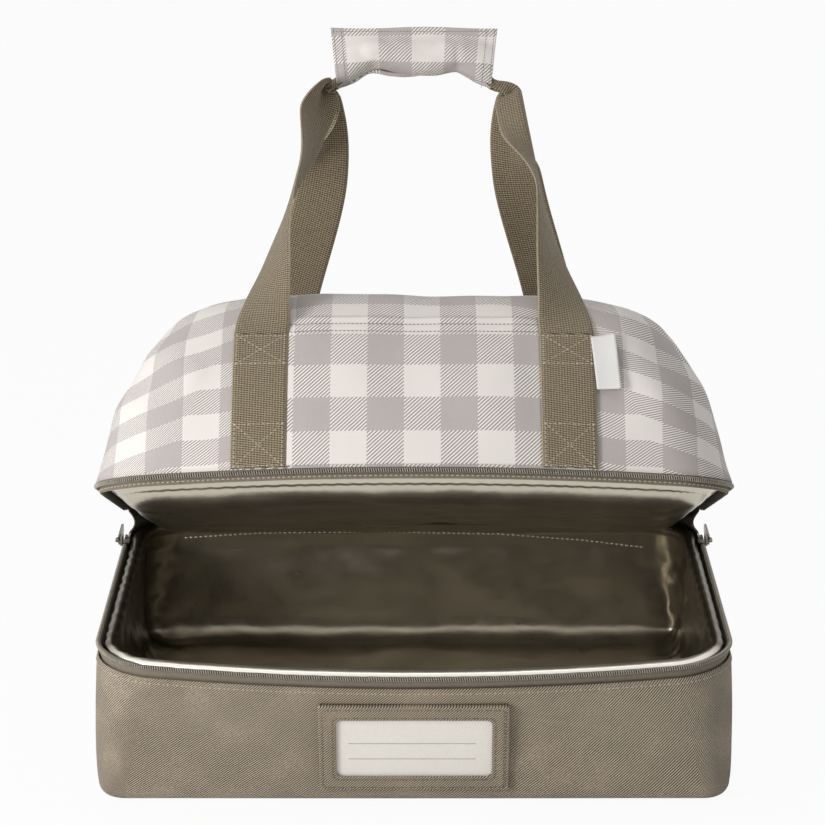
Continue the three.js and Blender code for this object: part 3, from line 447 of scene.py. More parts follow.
tape = Finish("zip_tape", Roughness=0.85, Sheen_Weight=0.15)
u, v = tape.weave()
loops = tape.times(tape.wave(tape.plus(u, v), 0.9), 0.5)
knit = tape.plus(loops, tape.times(tape.wave(v, 0.8), 0.5))
tape_tone = tape.fuzz(knit, 500, 0.8)
tape.colour(tape.mix(tape_tone, "#6a6152", "#8f8474"))
tape.bump(knit, 0.0003, 0.5)


def zip_tape(name, section, place, run, wavy=0.0, seed=3):
    rows = rings(section, place)[:, run]
    rows = rows + normals(rows, closed=False) * (rumple(rows, 14, seed) * wavy)[..., None]
    v = [z for _, z in section] + [section[0][1]]
    made = solid(name, rows, AROUND[run], v, closed=False, shell=True)
    tape.wear(made)
    return made


TAPE_OUTSIDE = [(2.5, 86.2), (2.4, 91.3), (1.4, 92.9), (1.0, 94.5), (1.0, 96.0), (1.2, 99.4)]
TAPE_INSIDE = [(1.6, 99.8), (2.0, 99.4), (2.2, 96), (3.1, 91.6), (3.2, 86.2)]
tub_tape = zip_tape("tub_tape", TAPE_OUTSIDE + TAPE_INSIDE, slump, ZIP_RUN, wavy=0.25)
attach(tub_tape, "tub")
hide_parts("tub_zip_tape")


def tree_with(name, *sizes):
    """A node tree that takes lines, sizes and a material, its inputs' identifiers and its two group nodes."""
    tree = bpy.data.node_groups.new(name, "GeometryNodeTree")
    kinds = {"Geometry": "Geometry", **dict.fromkeys(sizes, "Float"), "Material": "Material"}
    ids = {}
    for label, kind in kinds.items():
        made = tree.interface.new_socket(label, in_out="INPUT", socket_type="NodeSocket" + kind)
        ids[label] = made.identifier
    tree.interface.new_socket("Geometry", in_out="OUTPUT", socket_type="NodeSocketGeometry")
    return tree, ids, tree.nodes.new("NodeGroupInput"), tree.nodes.new("NodeGroupOutput")


def follow(tree, start, step):
    """A point at each step along the lines, with its facing direction and its tangent."""
    line = tree.nodes.new("GeometryNodeMeshToCurve")
    even = tree.nodes.new("GeometryNodeResampleCurve")
    even.mode = "LENGTH"
    tree.links.new(start.outputs["Geometry"], line.inputs[0])
    tree.links.new(line.outputs[0], even.inputs["Curve"])
    tree.links.new(step, even.inputs["Length"])
    facing = tree.nodes.new("GeometryNodeInputNamedAttribute")
    facing.data_type = "FLOAT_VECTOR"
    facing.inputs["Name"].default_value = "facing"
    tangent = tree.nodes.new("GeometryNodeInputTangent")
    return even.outputs["Curve"], facing.outputs[0], tangent.outputs[0]


def finish_tree(tree, made, start, end):
    """Every tree ends in real meshes with their material set."""
    real = tree.nodes.new("GeometryNodeRealizeInstances")
    dress = tree.nodes.new("GeometryNodeSetMaterial")
    tree.links.new(made, real.inputs["Geometry"])
    tree.links.new(real.outputs["Geometry"], dress.inputs["Geometry"])
    tree.links.new(start.outputs["Material"], dress.inputs["Material"])
    tree.links.new(dress.outputs["Geometry"], end.inputs["Geometry"])


def vector_math(tree, operation, a, b):
    made = tree.nodes.new("ShaderNodeVectorMath")
    made.operation = operation
    tree.links.new(a, made.inputs[0])
    tree.links.new(b, made.inputs["Scale" if operation == "SCALE" else 1])
    return made.outputs[0]


def number_math(tree, operation, a, b=None):
    made = tree.nodes.new("ShaderNodeMath")
    made.operation = operation
    for socket, value in zip(made.inputs, (a, b)):
        if isinstance(value, bpy.types.NodeSocket):
            tree.links.new(value, socket)
        elif value is not None:
            socket.default_value = value
    return made.outputs[0]


COIL_SIDES, COIL_STEPS = 5, 9
coil_tree, coil_ids, start, end = tree_with("zip_coil", "Pitch", "Width", "Thickness", "Wire")
coil_step = number_math(coil_tree, "DIVIDE", start.outputs["Pitch"], COIL_STEPS)
even, facing, tangent = follow(coil_tree, start, coil_step)
spot = coil_tree.nodes.new("GeometryNodeSplineParameter")
turns = number_math(coil_tree, "DIVIDE", spot.outputs["Length"], start.outputs["Pitch"])
angle = number_math(coil_tree, "MULTIPLY", turns, 2 * math.pi)
side = vector_math(coil_tree, "CROSS_PRODUCT", facing, tangent)
offsets = []
for operation, way, label in (("COSINE", side, "Width"), ("SINE", facing, "Thickness")):
    swing = number_math(coil_tree, operation, angle)
    reach = number_math(coil_tree, "MULTIPLY", swing, start.outputs[label])
    offsets.append(vector_math(coil_tree, "SCALE", way, number_math(coil_tree, "MULTIPLY", reach, 0.5)))
offset = vector_math(coil_tree, "ADD", *offsets)
wind = coil_tree.nodes.new("GeometryNodeSetPosition")
coil_tree.links.new(even, wind.inputs["Geometry"])
coil_tree.links.new(offset, wind.inputs["Offset"])
wire = coil_tree.nodes.new("GeometryNodeCurvePrimitiveCircle")
wire.inputs["Resolution"].default_value = COIL_SIDES
coil_tree.links.new(number_math(coil_tree, "MULTIPLY", start.outputs["Wire"], 0.5), wire.inputs["Radius"])
tube = coil_tree.nodes.new("GeometryNodeCurveToMesh")
coil_tree.links.new(wind.outputs[0], tube.inputs["Curve"])
coil_tree.links.new(wire.outputs[0], tube.inputs["Profile Curve"])
tube.inputs["Fill Caps"].default_value = True
finish_tree(coil_tree, tube.outputs[0], start, end)


def grow(name, tree, ids, runs, finish, **sizes):
    """Runs a tree along lines of (points, facing directions) and gives a plain mesh in its place."""
    mesh = bpy.data.meshes.new(name + "_lines")
    points = np.concatenate([p for p, _ in runs])
    ways = np.concatenate([np.broadcast_to(np.asarray(f, float), np.shape(p)) for p, f in runs])
    edges, first = [], 0
    for p, _ in runs:
        edges += [(first + k, first + k + 1) for k in range(len(p) - 1)]
        first += len(p)
    mesh.from_pydata((points * MM).tolist(), edges, [])
    facing = mesh.attributes.new("facing", "FLOAT_VECTOR", "POINT")
    facing.data.foreach_set("vector", ways.astype(np.float32).ravel())
    guide = bpy.data.objects.new(name + "_lines", mesh)
    scene.collection.objects.link(guide)
    modifier = guide.modifiers.new("grow", "NODES")
    modifier.node_group = tree
    for label, value in sizes.items():
        modifier[ids[label]] = value * MM
    modifier[ids["Material"]] = finish.material
    grown = guide.evaluated_get(bpy.context.evaluated_depsgraph_get())
    made = bpy.data.meshes.new_from_object(grown)
    made.name = name
    made.shade_smooth()
    bpy.data.objects.remove(guide)
    obj = bpy.data.objects.new(name, made)
    scene.collection.objects.link(obj)
    return obj


coil = Finish("zip_coil", Roughness=0.42)
coil.colour(coil.mottle(300, 2, "#857d70", "#bfb8aa"))
COIL = dict(Pitch=1.5, Width=2.6, Thickness=1.8, Wire=0.85)


def rim_line(inset, z, place, run):
    """A line round the rim with the directions it faces."""
    rows = rings([(inset, z - 1), (inset, z), (inset, z + 1)], place)
    return rows[1][run], normals(rows)[1][run]


# Painted shade: the cord is a real part of the zip, but it is painted near black so that the gaps between the
# coil's turns look shaded.
shaded_cord = Finish("filler_cord_in_shade", Roughness=0.9)
shaded_cord.colour(shaded_cord.mottle(600, 2, "#29241c", "#453e33"))


def filler_cord_in_shade(name, inset, z, place):
    """The cord that a coil is wound on, painted near black for the shade between the coil's turns."""
    section = ((-0.35, -0.9), (-0.35, 0.9), (0.5, 0.9), (0.5, -0.9))
    made = zip_tape(name, [(inset + a, z + b) for a, b in section], place, ZIP_RUN)
    shaded_cord.wear(made)
    return made


tub_chain = grow("tub_coil", coil_tree, coil_ids, [rim_line(0.2, 98.5, slump, ZIP_RUN)], coil, **COIL)
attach(tub_chain, "tub")
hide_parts("tub_zip_chain")
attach(filler_cord_in_shade("tub_coil_cord", 0.2, 98.5, slump), "tub")


# Stitching: lockstitch in cotton thread, each stitch a small rounded bar half sunk in the cloth. The first
# row holds the zip tape to the tub wall.
stitch_tree, stitch_ids, start, end = tree_with("stitch_row", "Pitch", "Length", "Width", "Height")
even, facing, tangent = follow(stitch_tree, start, start.outputs["Pitch"])
bead = stitch_tree.nodes.new("GeometryNodeMeshUVSphere")
bead.inputs["Segments"].default_value = 6
bead.inputs["Rings"].default_value = 5
bead.inputs["Radius"].default_value = 0.5
size = stitch_tree.nodes.new("ShaderNodeCombineXYZ")
for axis, label in enumerate(("Length", "Width", "Height")):
    stitch_tree.links.new(start.outputs[label], size.inputs[axis])
lay = stitch_tree.nodes.new("FunctionNodeAlignRotationToVector")
lay.axis = "X"
stitch_tree.links.new(tangent, lay.inputs["Vector"])
roll = stitch_tree.nodes.new("FunctionNodeAlignRotationToVector")
roll.axis, roll.pivot_axis = "Z", "X"
stitch_tree.links.new(lay.outputs[0], roll.inputs["Rotation"])
stitch_tree.links.new(facing, roll.inputs["Vector"])
sew = stitch_tree.nodes.new("GeometryNodeInstanceOnPoints")
stitch_tree.links.new(even, sew.inputs["Points"])
stitch_tree.links.new(bead.outputs["Mesh"], sew.inputs["Instance"])
stitch_tree.links.new(roll.outputs[0], sew.inputs["Rotation"])
stitch_tree.links.new(size.outputs[0], sew.inputs["Scale"])
finish_tree(stitch_tree, sew.outputs[0], start, end)
STITCH = dict(Pitch=2.6, Length=2.0, Width=0.75, Height=0.8)


def thread(name, code, other):
    made = Finish(name, Roughness=0.7, Sheen_Weight=0.2)
    made.colour(made.mottle(700, 2, code, other))
    return made


taupe_thread = thread("taupe_thread", "#ab9f8c", "#d3c8b6")


def stitches(name, runs, finish, body, **changes):
    made = grow(name, stitch_tree, stitch_ids, runs, finish, **{**STITCH, **changes})
    if body:
        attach(made, body)
    return made


CAST_FROM, CAST_LENGTH = 0.015, 0.04


def laid_on(piece, points, facing, rise=0.1):
    """Points moved along their facing onto the surface of a piece."""
    bpy.context.view_layer.update()
    points, facing = np.broadcast_arrays(np.asarray(points, float), np.asarray(facing, float))
    laid = []
    for p, f in zip(points * MM, facing):
        hit, spot, _, _ = piece.ray_cast(Vector(p + f * CAST_FROM), -Vector(f), distance=CAST_LENGTH)
        laid.append(np.array(spot) / MM + f * rise if hit else p / MM)
    return np.array(laid), facing


ALL_ROUND = np.arange(POINTS + 1) % POINTS
rim_row = laid_on(tub_wall, *rim_line(0.0, WALL_TOP - 3.4, slump, ALL_ROUND))
stitches("tub_rim_stitches", [rim_row], taupe_thread, "tub", Pitch=3.0, Length=2.0, Width=0.9, Height=1.1)


# Tub lining: a heat-sealed tub of silver-taupe film over foam, rolled over at the rim, gathered where it is
# sewn to the tape, and loose enough to crinkle. A seam with cream stitching crosses its rear wall.
film = Finish("lining_film", Metallic=0.88, Specular_IOR_Level=0.6)
u, v = film.weave()
crinkle = film.noise(55, 2)
tone_and_painted_light = film.mottle(18, 3, "#8f8675", "#ada593")
# Painted highlight: along the front rim the film is painted near white, as a highlight from the lamps, and a
# paler band runs down the front wall below it. Its own tone still varies in soft patches.
lip_highlight = film.span(v, 6.5, 10.0, 0.9, 0.0)
spot = film.node("ShaderNodeSeparateXYZ", film.place())
above_rim = film.minus(spot.outputs[2], 0.1)
forward = film.minus(spot.outputs[1], film.times(above_rim, 0.55))
front = film.span(forward, -0.136, -0.112, 1.0, 0.0)
# Painted shade: away from the front, towards the left and right ends, the film is painted dark.
shade = film.span(film.math("ABSOLUTE", spot.outputs[0]), 0.165, 0.19, 0.0, 1.0)
shade = film.times(shade, film.minus(1.0, front))
tone_and_painted_light = film.mix(film.times(shade, 0.75), tone_and_painted_light, "#4a4337")
# Painted highlight: a paler band down the front wall, below the rim.
front_wall_highlight = film.span(v, 8.0, 34.0, 0.75, 0.0)
tone_and_painted_light = film.mix(film.times(front_wall_highlight, front), tone_and_painted_light, "#d9d2c2")
film.colour(film.mix(film.times(lip_highlight, front), tone_and_painted_light, "#f1ede4"))
film.roughness(film.plus(film.times(crinkle, 0.2), 0.22))
film.bump(crinkle, 0.002, 0.25)


def ease(s, low, high):
    """A smooth step from 0 to 1 between two values."""
    s = np.clip((np.asarray(s, float) - low) / (high - low), 0, 1)
    return s * s * (3 - 2 * s)


FLOOR_FILM = 9.2
lip = [(4.4, 94.5), (4.5, 97.2), (5.2, 99.1), (6.8, 100.0), (8.8, 100.2), (10.8, 99.7), (12.3, 98.2)]
lip += [(12.9, 95.8), (12.2, 93.2)]
drop = [(9.4 + 1.4 * max(0, (z - 80) / 12) + 0.035 * (92 - z), z) for z in np.linspace(91.0, 26.0, 40)]
quarter = np.linspace(0, math.pi / 2, 9)
turn = [(12.0 + 14 * (1 - math.cos(a)), FLOOR_FILM + 15 * (1 - math.sin(a))) for a in quarter]
film_section = lip + drop + turn
film_rows = rings(film_section, slump)
flat_steps = np.linspace(27.0, HALF_DEPTH - 1.5, 26)[1:]
flat_rings = [slump(level_ring(FLOOR_FILM, s, None, max(33.0 - s, 1.0))) for s in flat_steps]
film_rows = np.concatenate([film_rows, np.array(flat_rings)])
deep = np.concatenate([[PARTING - z for _, z in film_section], np.full(len(flat_steps), 95.0)])[:, None]
gather = np.exp(-np.maximum(deep - 3, 0) / 17) * np.clip((deep - 2.0) / 5, 0, 1)
film_x, film_y = film_rows[..., 0], film_rows[..., 1]
side_share = np.clip((np.abs(film_x) - HALF_WIDTH + 42) / 20, 0, 1)
wander = rumple(film_rows, 40, 5)
pleat = np.sin(AROUND[:-1] / 11.5 * 2 * math.pi + 2.5 * wander) * gather * 0.6 * (1 - side_share)
ruck = 1 - 2 * np.abs(np.sin(AROUND[:-1] / 17.0 * math.pi + 1.8 * wander))
gathered = side_share * np.where(film_x < 0, 3.4, 1.8) * np.clip((95 - film_y) / 30, 0.15, 1)
gathered *= np.clip(0.6 + 0.8 * rumple(film_rows, 26, 8), 0.15, 1)
pleat += (ruck - 1) / 2 * gathered * np.exp(-np.maximum(deep - 3, 0) / 32) * np.clip((deep - 0.5) / 6, 0.3, 1)
slack = rumple(film_rows, 48, 6) * 2.2 + rumple(film_rows, 19, 7) * 0.9
slack += side_share * ease(film_y, 60, 95) * rumple(film_rows, 11, 9) * 1.6
slack *= np.clip((deep - 5) / 22, 0, 1)
inward = -normals(film_rows[::-1])[::-1]
film_rows = film_rows + inward * (pleat + slack)[..., None]
tub_lining = skin("tub_liner", film_rows, AROUND, deep[:, 0], last_cap=True)
film.wear(tub_lining)


def thicken(piece, thickness):
    """Gives a sheet its thickness, half to each side."""
    made = piece.modifiers.new("thickness", "SOLIDIFY")
    made.thickness, made.offset = thickness * MM, 0.0


thicken(tub_lining, 0.8)
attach(tub_lining, "tub")
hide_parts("tub_lining")

SEAM_HEIGHTS = [(-165, 87), (-110, 91), (-60, 91.5), (0, 91.5), (62, 90), (120, 85.5), (165, 80)]
seam_x = np.linspace(SEAM_HEIGHTS[0][0], SEAM_HEIGHTS[-1][0], 90)
seam_z = np.interp(seam_x, *zip(*SEAM_HEIGHTS))
seam_points = np.column_stack([seam_x, np.full(len(seam_x), HALF_DEPTH - 11.4), seam_z])
seam_row = laid_on(tub_lining, seam_points, (0, -1, 0))
pale_thread = thread("pale_thread", "#e6decb", "#fffaee")
stitches("lining_seam_stitches", [seam_row], pale_thread, "tub", Pitch=3.6, Length=2.7, Width=1.0, Height=1.2)


# Card pocket on the tub's front: a hemmed frame of the same twill sewn down on three sides, a clear vinyl
# window behind it, and a name card that slides in from the open right side.
LEAN = math.atan2(SLUMP_OUT, 94.5)
POCKET_MIDDLE = np.array([0.0, -HALF_DEPTH - 11.556, 45.5])
POCKET_UP = np.array([0.0, -math.sin(LEAN), math.cos(LEAN)])
POCKET_OUT = np.array([0.0, -math.cos(LEAN), -math.sin(LEAN)])
POCKET_WIDTH, POCKET_HEIGHT, WINDOW_WIDTH, WINDOW_HEIGHT = 121.0, 66.0, 99.0, 44.6


def round_rect(width, height, radius, run=24, turn=6):
    """A rounded rectangle, anticlockwise from its lower left, the same number of points for any size."""
    made = []
    for k, (sx, sy) in enumerate(((-1, -1), (1, -1), (1, 1), (-1, 1))):
        x, y = sx * (width / 2 - radius), sy * (height / 2 - radius)
        angle = np.radians(np.linspace(180, 270, turn) + 90 * k)
        made.append(np.column_stack([x + radius * np.cos(angle), y + radius * np.sin(angle)]))
    sides = []
    for k in range(4):
        a, b = made[k][-1], made[(k + 1) % 4][0]
        sides += [made[k], a + (b - a) * np.linspace(0, 1, run, endpoint=False)[1:, None]]
    return np.concatenate(sides)


def on_pocket(flat, n):
    """Points of the pocket's own plane, raised n from the wall."""
    flat = np.asarray(flat, float)
    n = np.broadcast_to(n, flat.shape[:-1])[..., None]
    return POCKET_MIDDLE + flat[..., :1] * np.array([1.0, 0, 0]) + flat[..., 1:] * POCKET_UP + n * POCKET_OUT


frame_outer = round_rect(POCKET_WIDTH, POCKET_HEIGHT, 1.2)
frame_inner = round_rect(WINDOW_WIDTH, WINDOW_HEIGHT, 4.0)
frame_section = [(0.0, -1.2), (0.0, 1.9), (0.02, 2.5), (0.07, 2.9), (0.17, 2.75), (0.22, 2.6), (0.3, 2.85)]
frame_section += [(0.5, 2.9), (0.7, 2.85), (0.8, 2.6), (0.86, 2.75), (0.95, 2.9), (0.99, 2.5), (1.0, 1.75)]
frame_section += [(0.9, 1.65), (0.2, 1.65), (0.03, 1.0)]
frame_flat = np.array([frame_outer * (1 - f) + frame_inner * f for f, _ in frame_section])
frame_rise = np.array([n for _, n in frame_section])[:, None]
frame_rise = frame_rise + rumple(np.dstack([frame_flat, np.zeros(frame_flat.shape[:2])]), 15, 11) * 0.2
open_side = ease(frame_flat[..., 0], 46, 52) * ease(28 - np.abs(frame_flat[..., 1]), 0, 1.5)
frame_rise = np.maximum(frame_rise, 3.0 * open_side - 2.0)
frame_u = np.pad(frame_flat[..., 0], ((0, 1), (0, 1)), mode="wrap")
frame_v = np.pad(frame_flat[..., 1], ((0, 1), (0, 1)), mode="wrap")
pocket_frame = solid("card_pocket", on_pocket(frame_flat, frame_rise), frame_u, frame_v, shell=True)
twill.wear(pocket_frame)
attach(pocket_frame, "tub")
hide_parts("card_pocket_frame")


def round_and_back(flat, n):
    line = on_pocket(flat, n)
    return np.vstack([line, line[:1]])


ROW_INSET, ROW_RISE = 4.5, 3.0
end_row = np.column_stack([np.full(20, 57.0), np.linspace(-29, 29, 20)])
pocket_lines = [
    round_and_back(round_rect(POCKET_WIDTH - ROW_INSET, POCKET_HEIGHT - ROW_INSET, 2.0), ROW_RISE),
    round_and_back(round_rect(WINDOW_WIDTH + ROW_INSET, WINDOW_HEIGHT + ROW_INSET, 4.0), ROW_RISE),
    on_pocket(end_row, ROW_RISE),
]
pocket_rows = [(line, POCKET_OUT) for line in pocket_lines]
# Painted shade: the pocket's stitches are painted dark brown for the shade in their stitch holes; the thread
# itself is taupe.
thread_in_painted_shade = thread("thread_in_painted_shade", "#4d4335", "#75695a")
POCKET_STITCH = dict(Pitch=2.7, Length=1.9, Width=0.6, Height=0.7)
stitches("card_pocket_stitches", pocket_rows, thread_in_painted_shade, "tub", **POCKET_STITCH)

vinyl = Finish("clear_vinyl", Base_Color="#f4f3ee", Alpha=0.1)
vinyl.roughness(vinyl.plus(vinyl.times(vinyl.noise(40, 3), 0.15), 0.05))
vinyl.bump(vinyl.noise(25, 2), 0.0008, 0.2)
vinyl.wear(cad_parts["card_pocket_window"])

card = Finish("name_card", Roughness=0.75)
spot = card.node("ShaderNodeSeparateXYZ", card.place())
climb = card.node("ShaderNodeVectorMath", card.place(), operation="DOT_PRODUCT")
climb.inputs[1].default_value = POCKET_UP
height_up = card.minus(climb.outputs["Value"], float(POCKET_MIDDLE @ POCKET_UP) * MM)
RULE_HEIGHTS, RULE_HALF, RULE_REACH, RULE_SHIFT = (2.8, -9.4), 0.28, 40.5, 1.3
ruled = 0.0
for line_height in RULE_HEIGHTS:
    near = card.math("ABSOLUTE", card.minus(height_up, line_height * MM))
    ruled = card.plus(card.math("LESS_THAN", near, RULE_HALF * MM), ruled)
from_middle = card.math("ABSOLUTE", card.plus(spot.outputs[0], RULE_SHIFT * MM))
inside = card.math("LESS_THAN", from_middle, RULE_REACH * MM)
stock = card.mottle(220, 3, "#f6f0e7", "#fffaf3")
card.colour(card.mix(card.times(card.times(ruled, inside), 0.75), stock, "#5d5650"))
card.wear(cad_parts["name_card"])


# Zip sliders and pulls: die-cast zinc with a satin plating, scuffed in fine patches. One slider runs on each
# side of the tub's zip and one on the ridge; the solids themselves are dressed.
metal = Finish("satin_metal", Metallic=1.0)
scuff = metal.noise(400, 4)
metal.colour(metal.mix(scuff, "#4f4a41", "#857e71"))
metal.roughness(metal.plus(metal.times(scuff, 0.25), 0.2))
metal.bump(metal.noise(1500, 2), 0.0001, 0.2)
for place in ("left", "right", "ridge"):
    metal.wear(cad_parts[place + "_zip_slider"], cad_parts[place + "_zip_pull"])


# Shell of the upper bag: check cloth over foam, domed, in a front and a rear panel that meet at the ridge
# zip. Its front foot hangs out and up a little, and it rides on the hinge at the tub's rear.
LID_HEIGHT, LID_OPEN, HINGE_Y = 132.0, math.radians(23), 137.5
LIFT_OUT, LIFT_UP = 16.0, 6.5


def tip(points):
    """From the open lid's own frame to the world."""
    p = np.asarray(points, float)
    y, z = p[..., 1], p[..., 2]
    c, s = math.cos(LID_OPEN), math.sin(LID_OPEN)
    return np.stack([p[..., 0], HINGE_Y + y * c + z * s, PARTING - y * s + z * c], -1)


def lifted(points):
    """Where points of the bag, given as if it sat square over the tub, stand on the open lid."""
    p = np.asarray(points, float)
    x, y, z = p[..., 0], p[..., 1], p[..., 2]
    share = np.maximum(0, 1 - (x / HALF_WIDTH) ** 2) * np.maximum(0, -y / HALF_DEPTH)
    share = share * np.maximum(0, 1 - z / LID_HEIGHT)
    return tip(np.stack([x, y - HINGE_Y - LIFT_OUT * share, z + LIFT_UP * share], -1))


def bezier(points, t):
    """Points of a curve drawn by four others, at shares t of its way."""
    p = np.asarray(points, float)
    t = np.asarray(t, float)[..., None]
    return p[0] * (1 - t) ** 3 + 3 * p[1] * t * (1 - t) ** 2 + 3 * p[2] * t**2 * (1 - t) + p[3] * t**3


CROWN_HALF, CROWN_INSET, SHELL_PAD = 61, 98, 5.2
SIDE_PROFILE = ((0, 5), (22, 74), (38, LID_HEIGHT), (CROWN_INSET, LID_HEIGHT))
FRONT_PROFILE = ((0, 5), (9, 74), (26, LID_HEIGHT), (78, LID_HEIGHT))
profile_t = np.linspace(0, 1, 401)
profile_line = bezier(FRONT_PROFILE, profile_t)
profile_v = run_of(profile_line)


def unit(v):
    return v / np.linalg.norm(v, axis=-1, keepdims=True)


def profile_way(t, step=1e-3):
    """The direction of the front profile at a share of its way."""
    ahead, behind = np.minimum(t + step, 1), np.maximum(t - step, 0)
    return unit(bezier(FRONT_PROFILE, ahead) - bezier(FRONT_PROFILE, behind))


def dome_ring(t, depth=0.0):
    """A ring of the dome at a share of its profile, moved in by a depth, before it is lifted."""
    side, front = bezier(SIDE_PROFILE, t), bezier(FRONT_PROFILE, t)
    lean = profile_way(t, step=0.01)
    shift = depth * lean[1]
    return level_ring(side[1] - depth * lean[0], side[0] + shift, front[0] + shift, CORNER + 10 * t)


def crown_ring(y, depth=0.0):
    """A ring of the flat top, closing in on the ridge."""
    return level_ring(LID_HEIGHT - depth, CROWN_INSET + (CROWN_HALF - y), HALF_DEPTH - y, min(50.0, y))


def dome(ts, ys, depth=0.0):
    """All the rings of the dome, from its foot to the ridge."""
    return np.array([dome_ring(t, depth) for t in ts] + [crown_ring(y, depth) for y in ys])


shell_t = 1 - (1 - np.linspace(0, 1, 52)) ** 1.15
crown_y = np.linspace(CROWN_HALF, 1.5, 18)[1:]
outer, inner = dome(shell_t, crown_y), dome(shell_t, crown_y, SHELL_PAD)
shell_v = np.concatenate([np.interp(shell_t, profile_t, profile_v), profile_v[-1] + CROWN_HALF - crown_y])
flat_u = np.array([along(ring[:, :2]) for ring in outer])
SHELL_FRONT = (SIDE_STEPS // 2, SIDE_STEPS + 2 * CORNER_STEPS + FRONT_STEPS + SIDE_STEPS // 2)
REAR_MIDDLE = SHELL_FRONT[1] + SIDE_STEPS // 2 + CORNER_STEPS + REAR_STEPS // 2
turn_length = (flat_u[:, -1] - flat_u[:, 0])[:, None, None]
rear_middle = flat_u[:, REAR_MIDDLE, None, None]
shell_u = np.stack([flat_u[:, :-1], flat_u[:, 1:]], -1)
shell_u[:, SHELL_FRONT[1] :] -= rear_middle
way_round = turn_length - rear_middle
shell_u[:, : SHELL_FRONT[0]] += way_round
SQUARE = 23.3


def cloth_height(s, v, corner):
    """How far up the cloth a point lies: its rows drop as they pass a corner and crowd beside it."""
    past = np.maximum(s - corner + 8, 0)
    edge = 127.5 - 20 * ease(s, 45, 135) - past * (0.25 + 0.27 * np.clip(v / 50, 0, 1))
    below = edge - v
    return SQUARE * (6 - below / np.where(below > 0, SQUARE - 6 * ease(s, 60, 118), SQUARE))


from_middle = np.minimum(np.abs(flat_u - rear_middle[..., 0]), np.abs(flat_u + way_round[..., 0]))
corner_start = outer[:, SIDE_STEPS + CORNER_STEPS + FRONT_STEPS, 0, None]
shell_rise = cloth_height(np.minimum(np.abs(flat_u), from_middle), shell_v[:, None], corner_start)

outer_world = lifted(outer)
out = normals(outer_world)
x, y = outer[..., 0], outer[..., 1]
free = np.clip((shell_v - 4) / 40, 0, 1)[:, None] * np.clip((np.abs(y) - 10) / 14, 0, 1)
STRAP_X = 98.0
from_strap = np.abs(np.abs(x) - STRAP_X)
by_strap = (from_strap < 40) & (np.abs(y) > 60)
free = free * np.where(by_strap, np.clip((from_strap - 18) / 20, 0, 1), 1.0)
free = free * np.where((np.abs(x) < 84) & (y < 0), np.clip((shell_v - 108) / 10, 0, 1)[:, None], 1.0)
waves = rumple(outer_world, 75, 21) * 2.6 + rumple(outer_world, 34, 22) * 1.0
creased = 1 - 2 * np.abs(rumple(outer_world * (1, 1, 0.6), 44, 26)) + rumple(outer_world, 24, 27)
waves += np.clip((np.abs(x) - 118) / 40, 0, 1) * creased * 2.0
puff = np.clip(1 - np.abs(shell_v[:, None] - 60) / 60, 0, 1) * 1.2
groove = 3.4 * (1 - ease(np.abs(y), 4.6, 8.4)) * (1 - ease(np.abs(x), 108, 124))
outer_world = outer_world + out * (free * np.maximum(waves + puff, -0.8) - groove)[..., None]
shell_rows = np.concatenate([lifted(inner)[::-1], outer_world])
whole_u = np.concatenate([shell_u[::-1], shell_u, shell_u[-1:]])
whole_v = np.concatenate([shell_rise[::-1], shell_rise, shell_rise[-1:]])
bag_shell = solid("bag_shell", shell_rows, whole_u, whole_v, caps=True)

check = Finish("check_cloth", Roughness=0.8, Sheen_Weight=0.15)
u, v = check.weave()


def gray_bands(length, start):
    turn = check.math("FRACT", check.math("DIVIDE", check.minus(length, start), 2 * SQUARE))
    return check.math("LESS_THAN", turn, 0.5)


slant = check.minus(u, v)
columns, lines = gray_bands(u, 16.8), gray_bands(v, 0.0)
hatch = check.math("LESS_THAN", check.math("FRACT", check.math("DIVIDE", slant, 2.6)), 0.5)
both = check.times(columns, lines)
any_gray = check.math("MAXIMUM", columns, lines)
grain = check.plus(check.wave(slant, 1.1), check.noise(700, 2))
cream = check.mix(grain, "#ebe3dc", "#f5eee8")
gray = check.mix(grain, "#aea5a2", "#c6bdba")
hatched = check.mix(hatch, "#fbf5ef", "#a59c98")
squares = check.mix(both, cream, gray)
check.colour(check.mix(check.minus(any_gray, both), squares, hatched))
check.bump(check.times(check.wave(u, 0.9), check.wave(v, 0.9)), 0.0002, 0.35)
check.wear(bag_shell)
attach(bag_shell, "upper_bag")
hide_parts("bag_shell_cloth", "bag_foam")


# Slip pocket between the front straps: a panel of the same check cloth sewn down under the straps and along
# its foot, with a hem in two rows of stitching along its open top.
def on_wall(x, v, rise, facing=-1):
    """A point on the bag's front or rear wall, v up from its foot along the cloth, raised from it."""
    x, v, rise = np.broadcast_arrays(np.asarray(x, float), np.asarray(v, float), np.asarray(rise, float))
    t = np.interp(v, profile_v, profile_t)
    p = bezier(FRONT_PROFILE, t)
    way = profile_way(t)
    inset, z = p[..., 0] - way[..., 1] * rise, p[..., 1] + way[..., 0] * rise
    return lifted(np.stack([x, facing * (HALF_DEPTH - inset), z], -1))


def wall_run(xs, vs, rise, facing=-1):
    """A line of points on the wall, with the directions they face."""
    out = unit(on_wall(xs, vs, 1.0, facing) - on_wall(xs, vs, 0.0, facing))
    return on_wall(xs, vs, rise, facing), out


